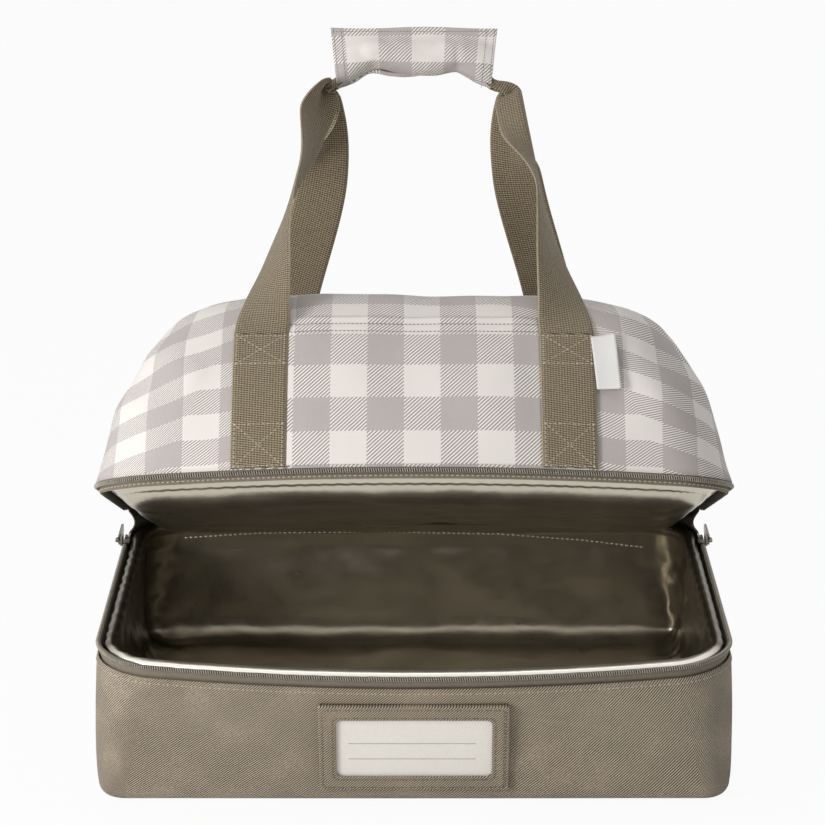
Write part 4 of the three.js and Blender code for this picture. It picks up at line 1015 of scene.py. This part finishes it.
PANEL_HALF, PANEL_FOOT, PANEL_TOP = 80.9, 1.5, 110.0
pocket_x, pocket_v = np.linspace(-PANEL_HALF, PANEL_HALF, 72), np.linspace(PANEL_FOOT, PANEL_TOP, 60)
grid_x, grid_v = np.meshgrid(pocket_x, pocket_v)
at_wall = on_wall(grid_x, grid_v, 0.0)
loose = ease(PANEL_HALF - np.abs(grid_x), 0, 18) * ease(grid_v, 3, 40)
lie = np.maximum(1.0 + rumple(at_wall, 75, 21) * 2.0 + rumple(at_wall, 30, 22) * 0.9, 0)
HEM_ROWS = (97.8, 104.0)
drawn = sum(np.exp(-(((grid_v - row) / 1.6) ** 2)) for row in HEM_ROWS)
pocket_rise = 0.9 + loose * lie * (1 - 0.35 * drawn) + 0.8 * ease(grid_v, HEM_ROWS[1], PANEL_TOP) * loose
pocket_height = SQUARE * (1 + (pocket_v - 0.8) / 23.6)
pocket_points = on_wall(grid_x, grid_v, pocket_rise)
pocket = skin("front_pocket", pocket_points, pocket_x, pocket_height, closed=False)
check.wear(pocket)
thicken(pocket, 0.9)
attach(pocket, "upper_bag")
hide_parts("front_pocket_panel")
dark_thread = thread("dark_thread", "#6a645f", "#8d8681")
hem_x = np.linspace(-79, 79, 80)
hem_rows = [laid_on(pocket, *wall_run(hem_x, row + 0 * hem_x, 0.0)) for row in HEM_ROWS]
stitches("front_pocket_stitches", hem_rows, dark_thread, "upper_bag", Pitch=2.6, Length=2.1, Width=0.6)


# Lining of the upper compartment: the same film, sewn in along the ridge zip and at the foot of the shell.
# It isn't seen while the compartment is shut.
LINING_DEPTH = 6.2
lining_rows = lifted(dome(np.linspace(0.05, 1, 16), np.linspace(CROWN_HALF, 2, 8)[1:], LINING_DEPTH))
lining_rows += normals(lining_rows) * (rumple(lining_rows, 40, 24) * 0.5 - 0.5)[..., None]
bag_lining = skin("bag_liner", lining_rows, AROUND, 6.0, last_cap=True)
film.wear(bag_lining)
thicken(bag_lining, 0.6)
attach(bag_lining, "upper_bag")
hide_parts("bag_lining")


# Zip of the bag: the other half of the tape, sewn inside the foot of the shell, and of the coil, wound on a
# cord of its own.
BELOW_SHELL = [(1.1, 5.0), (0.9, 3.6), (1.2, 1.6), (1.6, 1.2), (2.0, 1.6), (2.3, 4.0), (2.4, 5.5)]
UNDER_CLOTH = [(0.005, 2.1), (0.04, 2.2), (0.04, 1.4), (0.005, 1.3)]
tucked = lifted(np.array([dome_ring(t, depth) for t, depth in UNDER_CLOTH]))
bag_rows = np.concatenate([rings(BELOW_SHELL, lifted), tucked])[:, ZIP_RUN]
bag_tape = solid("bag_tape", bag_rows, AROUND[ZIP_RUN], 1.7, closed=False, shell=True)
tape.wear(bag_tape)
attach(bag_tape, "upper_bag")
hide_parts("bag_zip_tape")
bag_chain = grow("bag_coil", coil_tree, coil_ids, [rim_line(0.2, 2.5, lifted, ZIP_RUN)], coil, **COIL)
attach(bag_chain, "upper_bag")
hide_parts("bag_zip_chain")
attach(filler_cord_in_shade("bag_coil_cord", 0.2, 2.5, lifted), "upper_bag")


# Floor of the bag: film under a foam pad and a stiff board, sagging below the rim in the middle. The film
# is bound to the zip tape by a taupe band with cream stitching.
FLOOR_EDGE = [(4.3, 5.6), (4.5, 3.4), (7.0, 1.6), (10.6, 0.2), (13.2, -1.6), (14.4, -3.6), (15.4, -4.4)]
FLOOR_EDGE += [(16.4, -4.7), (17.2, -5.4), (19.2, -8.0), (23, -10.8), (29, -12.8), (40, -14.2), (56, -14.8)]
FLOOR_EDGE += [(75, -15.0), (100, -15.2), (136.5, -15.3)]
FLOOR_TOP = [(3.2, 5.9), (6.5, 7.5), (10.0, 8.4), (136.5, 8.6)]


def smooth_line(points, count):
    """Evenly spaced points on a smooth line through the given ones."""
    p = np.asarray(points, float)
    p = np.vstack([2 * p[0] - p[1], p, 2 * p[-1] - p[-2]])
    made = []
    for a, b, c, d in zip(p[:-3], p[1:-2], p[2:-1], p[3:]):
        s = np.linspace(0, 1, 24, endpoint=False)[:, None]
        made.append(b + 0.5 * s * (c - a + s * (2 * a - 5 * b + 4 * c - d + s * (3 * (b - c) + d - a))))
    made = np.vstack([np.concatenate(made), p[-2:-1]])
    far = run_of(made)
    at = np.linspace(0, far[-1], count)
    return np.column_stack([np.interp(at, far, made[:, k]) for k in range(made.shape[1])])


def floor_rings(section):
    return lifted(np.array([level_ring(z, s, None, max(CORNER - s, 1.0)) for s, z in section]))


edge = np.vstack([smooth_line(FLOOR_EDGE[:13], 52), smooth_line(FLOOR_EDGE[12:], 22)[1:]])
under_world = floor_rings(edge)
under_out = -normals(under_world)
far_in = edge[:, :1]
folds = rumple(under_world, 42, 31) * 1.8 + rumple(under_world, 17, 32) * 0.9
folds *= np.clip((far_in - 15) / 14, 0, 1)
pucker = np.sin(AROUND[:-1] / 9.0 * 2 * math.pi + 3 * rumple(under_world, 30, 33))
folds += pucker * np.exp(-(((far_in - 17) / 4.5) ** 2)) * 0.4
under_world = under_world + under_out * folds[..., None]
floor_rows = np.concatenate([under_world[::-1], floor_rings(FLOOR_TOP)])
floor_v = np.concatenate([edge[::-1, 0] - 3.5, [20, 30, 40, 150]])
bag_floor = solid("bag_floor", floor_rows, AROUND, floor_v, caps=True)
film.wear(bag_floor)
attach(bag_floor, "upper_bag")
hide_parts("bag_floor_under_lining", "bag_floor_foam", "bag_floor_board", "bag_floor_lining")

BINDING = [(2.6, 5.0), (2.5, 1.0), (2.55, -1.6), (2.9, -2.4), (3.5, -2.5), (4.0, -1.8), (4.1, 1.0)]
BINDING += [(4.2, 4.6), (3.3, 5.2)]


def bound(points):
    """The lid's rim for the binding, which narrows before the zip's ends to leave the sliders room."""
    p = np.array(points, float)
    share = ease(p[..., 1], 50, 74)
    p[..., 2] += share * (4.2 + 0.15 * p[..., 2] - p[..., 2])
    return lifted(p)


binding = zip_tape("lid_binding", BINDING, bound, ZIP_RUN, wavy=0.1, seed=5)
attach(binding, "upper_bag")
cream_thread = thread("cream_thread", "#b5ab94", "#ded5c0")
binding_row = rim_line(2.5, -0.6, bound, ZIP_RUN[14:-14])
stitches("lid_binding_stitches", [binding_row], cream_thread, "upper_bag", Pitch=3.2, Length=2.3)


# Hinge strip: one band of zip tape along the rear and round its corners, sewn to the tub below and to the
# bag above, with a soft gusset at each end, tucked inwards.
HINGE_RUN = np.arange(ZIP_RUN[-1], POINTS + 1) % POINTS
low_line = rings([(1.7, 86.5), (1.7, 94.0), (2.0, 100.7)], slump)[:, HINGE_RUN]
high_line = rings([(2.0, 0.3), (1.7, 6.0), (1.7, 14.5)], lifted)[:, HINGE_RUN]
gap = np.linalg.norm(high_line[0] - low_line[-1], axis=-1)
hinge_middle = []
for f in np.linspace(0, 1, 9)[1:-1]:
    row = low_line[-1] * (1 - f) + high_line[0] * f
    tuck = np.sin(math.pi * f) * np.clip(gap - 1, 0, 9) * 0.45
    row[:, 0] -= np.sign(row[:, 0]) * tuck
    hinge_middle.append(row)
hinge_rows = np.concatenate([low_line, np.array(hinge_middle), high_line])
hinge_u = np.linspace(0, 560, len(HINGE_RUN) + 1)
hinge = skin("hinge_strip", hinge_rows, hinge_u, 2.0, closed=False)
tape.wear(hinge)
thicken(hinge, 0.8)
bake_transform(hinge)
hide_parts("tub_hinge_strip", "bag_hinge_strip")


# Zip along the ridge of the bag, from one end over the top to the other: tape, two coils and the folded
# edges of the check cloth, topstitched.
RIDGE_FOOT = 40.4
ridge_start = np.interp(RIDGE_FOOT, bezier(SIDE_PROFILE, profile_t)[:, 1], profile_t)
ridge_t = np.linspace(ridge_start, 1, 40)
climb = bezier(SIDE_PROFILE, ridge_t)
left_side = np.column_stack([climb[:, 0] - HALF_WIDTH, climb[:, 1]])
flat_x = np.linspace(left_side[-1, 0], -left_side[-1, 0], 60)[1:-1]
flat_top = np.column_stack([flat_x, np.full(len(flat_x), LID_HEIGHT)])
ridge = np.vstack([left_side, flat_top, left_side[::-1] * (-1, 1)])
ridge_way = unit(np.gradient(ridge, axis=0))
ridge_out = np.column_stack([-ridge_way[:, 1], ridge_way[:, 0]])
ridge_up = np.column_stack([ridge_out[:, 0], np.zeros(len(ridge)), ridge_out[:, 1]])
ridge_facing = lifted(ridge_up) - lifted(np.zeros((1, 3)))
ridge_far = run_of(ridge)
RIDGE_TAPE = [(0.3, 0.5), (3.0, 0.5), (7.0, 0.3), (7.0, -0.4), (3.0, -0.4), (0.3, -0.4)]
RIDGE_FOLD = [(4.0, 0.7), (4.1, 1.5), (4.8, 2.0), (7.0, 1.9), (10.0, 1.2), (12.5, 0.2)]
RIDGE_FOLD += [(12.5, -1.2), (10.0, -1.0), (7.0, -0.2), (4.8, 0.2), (4.3, 0.3), (4.1, 0.45)]
RIDGE_COIL = {**COIL, "Width": 2.8}
RIDGE_WEAVE = 12.0


def on_ridge(y, n):
    """The ridge line moved by y to the rear and raised by n."""
    spot = ridge + ridge_out * n
    return lifted(np.column_stack([spot[:, 0], np.full(len(spot), float(y)), spot[:, 1]]))


def ridge_strip(name, side, section, finish):
    rows = np.stack([on_ridge(side * y, n) for y, n in section], 1)
    made = solid(name, rows, [side * y + RIDGE_WEAVE for y, _ in section], ridge_far, rungs=True)
    finish.wear(made)
    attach(made, "upper_bag")
    return made


for name, side in (("front", -1), ("rear", 1)):
    ridge_tape = ridge_strip(f"ridge_tape_{name}", side, RIDGE_TAPE, tape)
    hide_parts(f"ridge_zip_tape_{name}")
    ridge_strip(f"ridge_fold_{name}", side, RIDGE_FOLD, check)
    coil_line = (on_ridge(side * 1.7, 1.2), ridge_facing)
    ridge_coil = grow(f"ridge_chain_{name}", coil_tree, coil_ids, [coil_line], coil, **RIDGE_COIL)
    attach(ridge_coil, "upper_bag")
    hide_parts(f"ridge_zip_chain_{name}")
    sewn = (on_ridge(side * 8.0, 1.75), ridge_facing)
    stitches(f"ridge_stitches_{name}", [sewn], dark_thread, "upper_bag", Pitch=2.8, Length=2.2)


# Webbing sewn up the front and the rear of the bag: four lengths of olive polyester webbing, boxed and
# crossed with cream stitching at the foot and at the top.
HALF_WEB, WEB, STRAP_HEIGHT = 17.5, 1.8, 97.0
STRAP_TOP = float(np.interp(STRAP_HEIGHT, profile_line[:, 1], profile_v))

web = Finish("webbing", Roughness=0.75, Sheen_Weight=0.15)
u, v = web.weave()
cords = web.wave(u, 1.8)
picks = web.wave(web.plus(v, web.times(u, 0.15)), 1.55)
weft = web.plus(web.times(cords, 0.35), web.times(picks, 0.65))
fuzzy = web.fuzz(weft, 800, 0.5)
fuzzy = web.span(fuzzy, 0.2, 0.8, 0.0, 1.0)
web_tone = web.mix(fuzzy, "#2e2619", "#b2a182")
web_cloud = web.mottle(30, 3, "#776953", "#8b7c65")
body_tone = web.mix(0.12, web_tone, web_cloud)
selvage = web.math("GREATER_THAN", web.math("ABSOLUTE", u), 17.0)
web.colour(web.mix(web.times(selvage, 0.8), body_tone, "#b9aa8b"))
web.bump(weft, 0.0005, 0.8)


def web_profile(near=0.0, far=0.0, crease=0.0, steps=17):
    """A section of webbing, each side bent by an angle at a crease, and where its points lie in its width."""
    width = np.linspace(-HALF_WEB, HALF_WEB, steps)
    s = width - crease
    fine = np.linspace(0, HALF_WEB + abs(crease), 81)
    halves = []
    for fold in (far, near):
        bend = fold * np.clip(fine / 3.5, 0, 1)
        a = np.concatenate([[0], np.cumsum(np.cos(bend[1:]) * fine[1])])
        o = -np.concatenate([[0], np.cumsum(np.sin(bend[1:]) * fine[1])])
        halves.append([np.interp(np.abs(s), fine, values) for values in (a, o, bend)])
    (far_a, far_o, far_bend), (near_a, near_o, near_bend) = halves
    middle = np.column_stack([np.where(s < 0, -far_a, near_a), np.where(s < 0, far_o, near_o)])
    angle = np.where(s < 0, -far_bend, near_bend)
    normal = np.column_stack([np.sin(angle), np.cos(angle)])
    thin = (WEB / 2) * np.clip((HALF_WEB - np.abs(width)) / 0.5, 0.35, 1)[:, None]
    loop = np.vstack([middle + normal * thin, (middle - normal * thin)[::-1]])
    return loop, np.concatenate([width, width[::-1]])


STRAP_RISE, SEWN_RISE, BOX_HALF = 1.5, 2.45, 15.2
SEWN_BOXES = ((1.5, 30.0), (73.0, STRAP_TOP - 1.5))
BOX_STITCH = dict(Pitch=3.0, Length=2.4, Width=0.55, Height=0.55)
loop, measure = web_profile()
strap_v = np.linspace(0.3, STRAP_TOP, 40)
for name, facing in (("front", -1), ("rear", 1)):
    for side, x in (("left", -STRAP_X), ("right", STRAP_X)):
        rows = np.array([on_wall(x + loop[:, 0], v, STRAP_RISE + loop[:, 1], facing) for v in strap_v])
        made = solid(f"strap_{name}_{side}", rows, measure, strap_v, rungs=True)
        web.wear(made)
        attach(made, "upper_bag")
        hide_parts(f"{name}_strap_{side}")
        runs = []
        for low, high in SEWN_BOXES:
            box = [(-BOX_HALF, low), (BOX_HALF, low), (BOX_HALF, high), (-BOX_HALF, high), (-BOX_HALF, low)]
            for (x0, v0), (x1, v1) in [*zip(box[:-1], box[1:]), (box[0], box[2]), (box[1], box[3])]:
                runs.append(wall_run(x + np.linspace(x0, x1, 14), np.linspace(v0, v1, 14), SEWN_RISE, facing))
        stitches(f"strap_{name}_{side}_stitches", runs, cream_thread, "upper_bag", **BOX_STITCH)


# Side tag: a bare ribbon of white satin folded in two and caught under the front right strap. Its free end
# curls away from the cloth.
TAG_START, TAG_END = 114.5, 130.0
tag_x = np.linspace(TAG_START, TAG_END, 12)
tag_v = np.linspace(54.5, 94.0, 26)
grid_x, grid_v = np.meshgrid(tag_x, tag_v)
curl = ((grid_x - TAG_START) / (TAG_END - TAG_START)) ** 2
tilt = (grid_v - 74) * -0.07
slope_up = (grid_x - 122) * ease(grid_v, 70, 94) * 0.12
tag_rise = 2.9 + 2.2 * curl + 0.5 * np.sin(grid_v / 6.0) * curl
tag_rows = on_wall(grid_x + tilt, grid_v + slope_up, tag_rise)
tag = skin("tag_ribbon", tag_rows, tag_x, tag_v, closed=False)
satin = Finish("tag_satin", Roughness=0.45, Sheen_Weight=0.1)
u, v = satin.weave()
satin.colour(satin.mix(satin.wave(v, 0.7), "#ebe8e4", "#f5f3f0"))
satin.bump(satin.plus(satin.wave(v, 0.7), satin.wave(u, 0.5)), 0.0001, 0.4)
satin.wear(tag)
thicken(tag, 0.7)
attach(tag, "upper_bag")
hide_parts("side_tag")


# Carrying loops: the webbing runs free from the top of each sewn strap, turns on edge, folds lengthwise on
# its way up, and is bunched where it enters the grip.
RIDGE, GRIP_HALF, LEG_FOOT = -HINGE_Y, 57.5, 97.3
RUN_OFFSET, RUN_HEIGHT, LOOP_SHOULDER = 4.84, 311.0, 281.5
FOLD, TIGHT_FOLD = math.radians(78), math.radians(104)


def leg_rows(facing, lean, over, tuck):
    """Rings up one leg of a loop on the left and into the grip, in the lid's own frame.

    The lean bows the leg's lower and upper parts sideways, over turns it past square, and tuck moves it in.
    """
    t = float(np.interp(LEG_FOOT, profile_line[:, 1], profile_t))
    p = bezier(FRONT_PROFILE, t)
    slope = profile_way(t)
    y, z = facing * (HALF_DEPTH - p[0] + slope[1] * STRAP_RISE), p[1] + slope[0] * STRAP_RISE
    share = (1 - (STRAP_X / HALF_WIDTH) ** 2) * max(0.0, -y / HALF_DEPTH) * (1 - z / LID_HEIGHT)
    root = np.array([-STRAP_X, y - HINGE_Y - LIFT_OUT * share, z + LIFT_UP * share])
    run_y = RIDGE + facing * RUN_OFFSET
    top = np.array([-GRIP_HALF - 16.0, run_y, LOOP_SHOULDER])
    straight = (top - root) / 3
    climb = np.array([0, -facing * slope[0], slope[1]]) * np.linalg.norm(straight)
    lower = root + 0.2 * climb + 0.8 * straight + (lean[0], 0, 0)
    upper = top - straight + (lean[1], 0, 0)
    s = np.linspace(0, 1, 64)
    path = bezier((root, lower, upper, top), s)
    entry = np.array([-GRIP_HALF - 0.5, run_y, LOOP_SHOULDER + 8.0])
    bend = bezier((top, top + unit(top - upper) * 7, entry + (-8, 0, -0.5), entry), np.linspace(0, 1, 15)[1:])
    level = (-44.0, run_y, RUN_HEIGHT), (-32.0, run_y, RUN_HEIGHT)
    inside = bezier((entry, entry + (8, 0, 0.5), *level), np.linspace(0, 1, 9)[1:])
    path = np.vstack([path, bend, inside])
    s = np.concatenate([s, 1 + np.linspace(0, 0.2, 23)[1:]])
    path[:, 0] += tuck * ease(s, 0.3, 0.9) * (1 - ease(s, 1.0, 1.12))
    way = unit(np.gradient(path, axis=0))
    quarter = math.pi / 2
    if over:
        turn = quarter * (1 - (1 - np.minimum(s / 0.68, 1)) ** 2) * ease(s, -0.05, 0.12)
        turn = turn + math.radians(over) * (ease(s, 0.6, 0.88) - ease(s, 0.97, 1.12))
        near = far = FOLD * ease(s, 0.84, 1.1)
    elif facing < 0:
        turn = quarter * (1 - (1 - np.minimum(s / 0.83, 1)) ** 2.4) * ease(s, -0.05, 0.12)
        near = TIGHT_FOLD * ease(s, 0.5, 0.95) + (FOLD - TIGHT_FOLD) * ease(s, 1.0, 1.15)
        far = FOLD * ease(s, 0.78, 1.1)
    else:
        turn = quarter * ease(s, 0.62, 1.04)
        near = far = FOLD * ease(s, 0.72, 1.04)
    crease = -3.0 * ease(s, 0.1, 0.5) * (facing < 0)
    bunched = 1 - 0.48 * ease(s, 0.96, 1.06) - 0.18 * ease(s, 1.08, 1.125)
    flat = np.column_stack([np.cos(turn), facing * np.sin(turn), np.zeros(len(s))])
    square = ease(s, 0, 0.3)[:, None]
    across = unit(flat - square * np.sum(flat * way, 1, keepdims=True) * way)
    outward = unit(np.cross(across, way)) * -facing
    rows = []
    for m, a, o, n, f, c, b in zip(path, across, outward, near, far, crease, bunched):
        loop = web_profile(n, f, c)[0]
        rows.append(m + (a * loop[:, :1] + o * loop[:, 1:]) * b)
    return np.array(rows)


# The lean, over and tuck of each loop's left leg, then of its right leg.
LEGS = {"front": (((0, 0), 27, 9.5), ((0, 0), 0, 0)), "rear": (((2, 27), 0, 6.5), ((-22, 28), 0, 0))}
for name, facing, start in (("front", -1, (0, -0.06, 0.2925)), ("rear", 1, (0, 0.157, 0.1995))):
    rows, other = [leg_rows(facing, *leg) for leg in LEGS[name]]
    other = other[::-1] * (-1, 1, 1)
    run = np.linspace(0, 1, 12)[1:-1, None, None]
    rows = np.concatenate([rows, rows[-1] * (1 - run) + other[0] * run, other])
    far = STRAP_TOP + run_of(rows.mean(1))
    loop = solid(f"{name}_loop", tip(rows), measure, far, rungs=True)
    web.wear(loop)
    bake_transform(loop)
    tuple(start)
    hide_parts(f"{name}_loop_webbing")


# Grip: a padded wrap of check cloth folded up round both loops, its two flaps closed along the top by a
# strip of hook and a strip of loop. The cloth is drawn up and puckered below, and hangs lower at the ends.
GRIP_LOW, GRIP_TOP, GRIP_PAD, GRIP_TAPER = 285.0, 327.0, 2.6, 0.08
GRIP_HEIGHT = GRIP_TOP - GRIP_LOW
HALF_SECTION = [(0.1, 285.0), (4.0, 285.1), (9.0, 287.0), (12.4, 291.5), (13.2, 297), (12.9, 303)]
HALF_SECTION += [(10.6, 309.5), (7.0, 315), (4.6, 319.5), (4.1, 323), (4.05, 327.0)]
half_section = smooth_line(HALF_SECTION, 34)
DRAWN_UP = [(-57.5, 0), (-44, 6.5), (-28, 13.5), (-14, 11.5), (0, 9.5), (16, 9.2), (32, 11.5), (45, 4.5)]
drawn_up = smooth_line([*DRAWN_UP, (57.5, 0)], 90)
# Each crease: where it starts and ends, as (along, share of the way down), its depth and its width.
CREASES = [
    ((-28, 0.8), (-41, 0.42), 2.0, 2.4),
    ((-28, 0.8), (-22, 0.4), 1.1, 2.6),
    ((-28, 0.8), (-46, 0.78), 1.3, 2.4),
    ((-28, 0.8), (-9, 0.76), 1.3, 2.8),
    ((32, 0.8), (29, 0.1), 1.5, 2.0),
    ((32, 0.8), (46, 0.66), 1.1, 2.6),
    ((32, 0.8), (12, 0.74), 1.4, 3.0),
]


def grip_rows(facing):
    """Rings round one half of the grip from end to end, and how far down the cloth each point lies."""
    xs = np.linspace(-GRIP_HALF, GRIP_HALF, 132)
    count = len(half_section)
    way = unit(np.gradient(half_section, axis=0))
    outside_way = np.column_stack([way[:, 1], -way[:, 0]])
    rows, downs = [], []
    for x in xs:
        side = -facing * x
        up = np.interp(side, drawn_up[:, 0], drawn_up[:, 1])
        line = half_section.copy()
        line[:, 1] = GRIP_TOP - (GRIP_TOP - line[:, 1]) * (GRIP_HEIGHT - up) / GRIP_HEIGHT
        line[:, 0] = np.maximum(line[:, 0] * (1 - 0.2 * (abs(x) / GRIP_HALF) ** 6), 0.1)
        far = run_of(line)
        down = far[-1] - far
        here = np.column_stack([np.full(count, side), down])
        dent = np.zeros(count)
        for (x0, d0), (x1, d1), depth, width in CREASES:
            a, b = np.array([x0, d0 * far[-1]]), np.array([x1, d1 * far[-1]])
            share = np.clip((here - a) @ (b - a) / ((b - a) @ (b - a)), 0, 1)
            away = np.linalg.norm(here - a - share[:, None] * (b - a), axis=1)
            dent += depth * (1 - share) ** 0.7 * np.exp(-((away / (width * (1 + share))) ** 2))
        across = np.column_stack([np.full(count, x), RIDGE + facing * line[:, 0], line[:, 1]])
        lump = rumple(across, 16, 41 + facing) * 1.6 + rumple(across, 8, 43 + facing) * 0.5
        body = np.sin(np.linspace(0, math.pi, count)) ** 0.6
        inner_line = line - outside_way * GRIP_PAD
        inner_line[:, 0] = np.maximum(inner_line[:, 0], 0.1)
        inner_line[-1, 1] = line[-1, 1]
        line += outside_way * (np.maximum(lump - np.minimum(dent, 2.6), -2.1) * body)[:, None]
        line[:, 0] = np.maximum(line[:, 0], 0.1)
        ring = np.vstack([line, inner_line[::-1]])
        taper = 1 - GRIP_TAPER * np.clip((GRIP_TOP - ring[:, 1]) / GRIP_HEIGHT, 0, 1)
        rows.append(np.column_stack([x * taper, RIDGE + facing * ring[:, 0], ring[:, 1]]))
        downs.append(np.concatenate([down, down[::-1]]))
    rows = np.array(rows)
    rows[..., 2] += np.sin(rows[..., 0] / 13.0 + 1.0) * 0.6 * np.clip((rows[..., 2] - 312) / 10, 0, 1)
    return rows, xs, np.array(downs)


def lid_way(x, y, z):
    """A direction of the lid's own frame in the world."""
    return tip(np.array([x, y, z], float)) - tip(np.zeros(3))


pile = Finish("hook_and_loop", Roughness=0.95, Sheen_Weight=0.6)
nap = pile.noise(1400, 3)
pile.colour(pile.mix(nap, "#a29a8f", "#d8d2c8"))
pile.bump(nap, 0.0006, 0.9)
STRIP = [(0.2, 317.9), (0.2, 326.5), (0.6, 326.7), (1.0, 326.4), (1.15, 322.2), (1.0, 318.0), (0.6, 317.7)]
fold_line = np.array([0, 0.122282, 0.417053])
fold_way = lid_way(0, -0.8, 0.6)
fold_start, fold_end = fold_line + fold_way * 0.006, fold_line + fold_way * 0.014


def follows(piece, facing):
    """The rear half stays on the handle; the front half is baked where it stands and joins no body."""
    if facing > 0:
        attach(piece, "handle")
    else:
        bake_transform(piece)
        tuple(fold_start)
        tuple(fold_end)


GRIP_WEAVE = (41.7, 5.5)
GRIP_STITCH = dict(Pitch=2.2, Length=1.7, Width=0.5, Height=0.5)
ring = np.array(STRIP)
for name, facing, fastening, body in (("front", -1, "hook", "grip_flap"), ("rear", 1, "loop", "handle")):
    rows, xs, downs = grip_rows(facing)
    half = solid(f"grip_{name}", tip(rows), 0.0, 0.0, rungs=True)
    width = rows.shape[1]
    weave = []
    for corner in half.data.loops:
        row, k = divmod(corner.vertex_index, width)
        weave += [xs[row] + GRIP_WEAVE[0], GRIP_WEAVE[1] - downs[row, k]]
    half.data.uv_layers["weave"].data.foreach_set("uv", np.array(weave, np.float32))
    check.wear(half)
    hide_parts(f"grip_{name}_half")
    follows(half, facing)

    beside = RIDGE + facing * 10
    sewn = []
    for x in (1.8 - GRIP_HALF, 7.2 - GRIP_HALF, GRIP_HALF - 7.2, GRIP_HALF - 1.8):
        z = np.linspace(GRIP_TOP - 1.5, GRIP_LOW + 3.5, 30)
        x = x * (1 - GRIP_TAPER * (GRIP_TOP - z) / GRIP_HEIGHT)
        sewn.append(np.column_stack([x, np.full(len(z), beside), z]))
    hem = np.linspace(2 - GRIP_HALF, GRIP_HALF - 2, 60)
    sewn.append(np.column_stack([hem, np.full(len(hem), beside), np.full(len(hem), GRIP_TOP - 2.6)]))
    sewn = [laid_on(half, tip(points), lid_way(0, facing, 0), rise=0.05) for points in sewn]
    thread_rows = stitches(f"grip_{name}_stitches", sewn, dark_thread, None, **GRIP_STITCH)
    follows(thread_rows, facing)

    across = np.column_stack([np.zeros(len(ring)), RIDGE + facing * ring[:, 0], ring[:, 1]])
    rows = np.array([across + (x, 0, 0) for x in np.linspace(-53, 53, 60)])
    strip = solid(f"grip_{fastening}", tip(rows), 0.0, 0.0, caps=True)
    pile.wear(strip)
    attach(strip, body)
    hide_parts(f"grip_{fastening}_strip")

# Kept for the end: the box of the solids and the box of the dressed carrier.
low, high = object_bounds()
boxes = {"cad": [list(cad_low), list(cad_high)], "visual": [list(low), list(high)]}
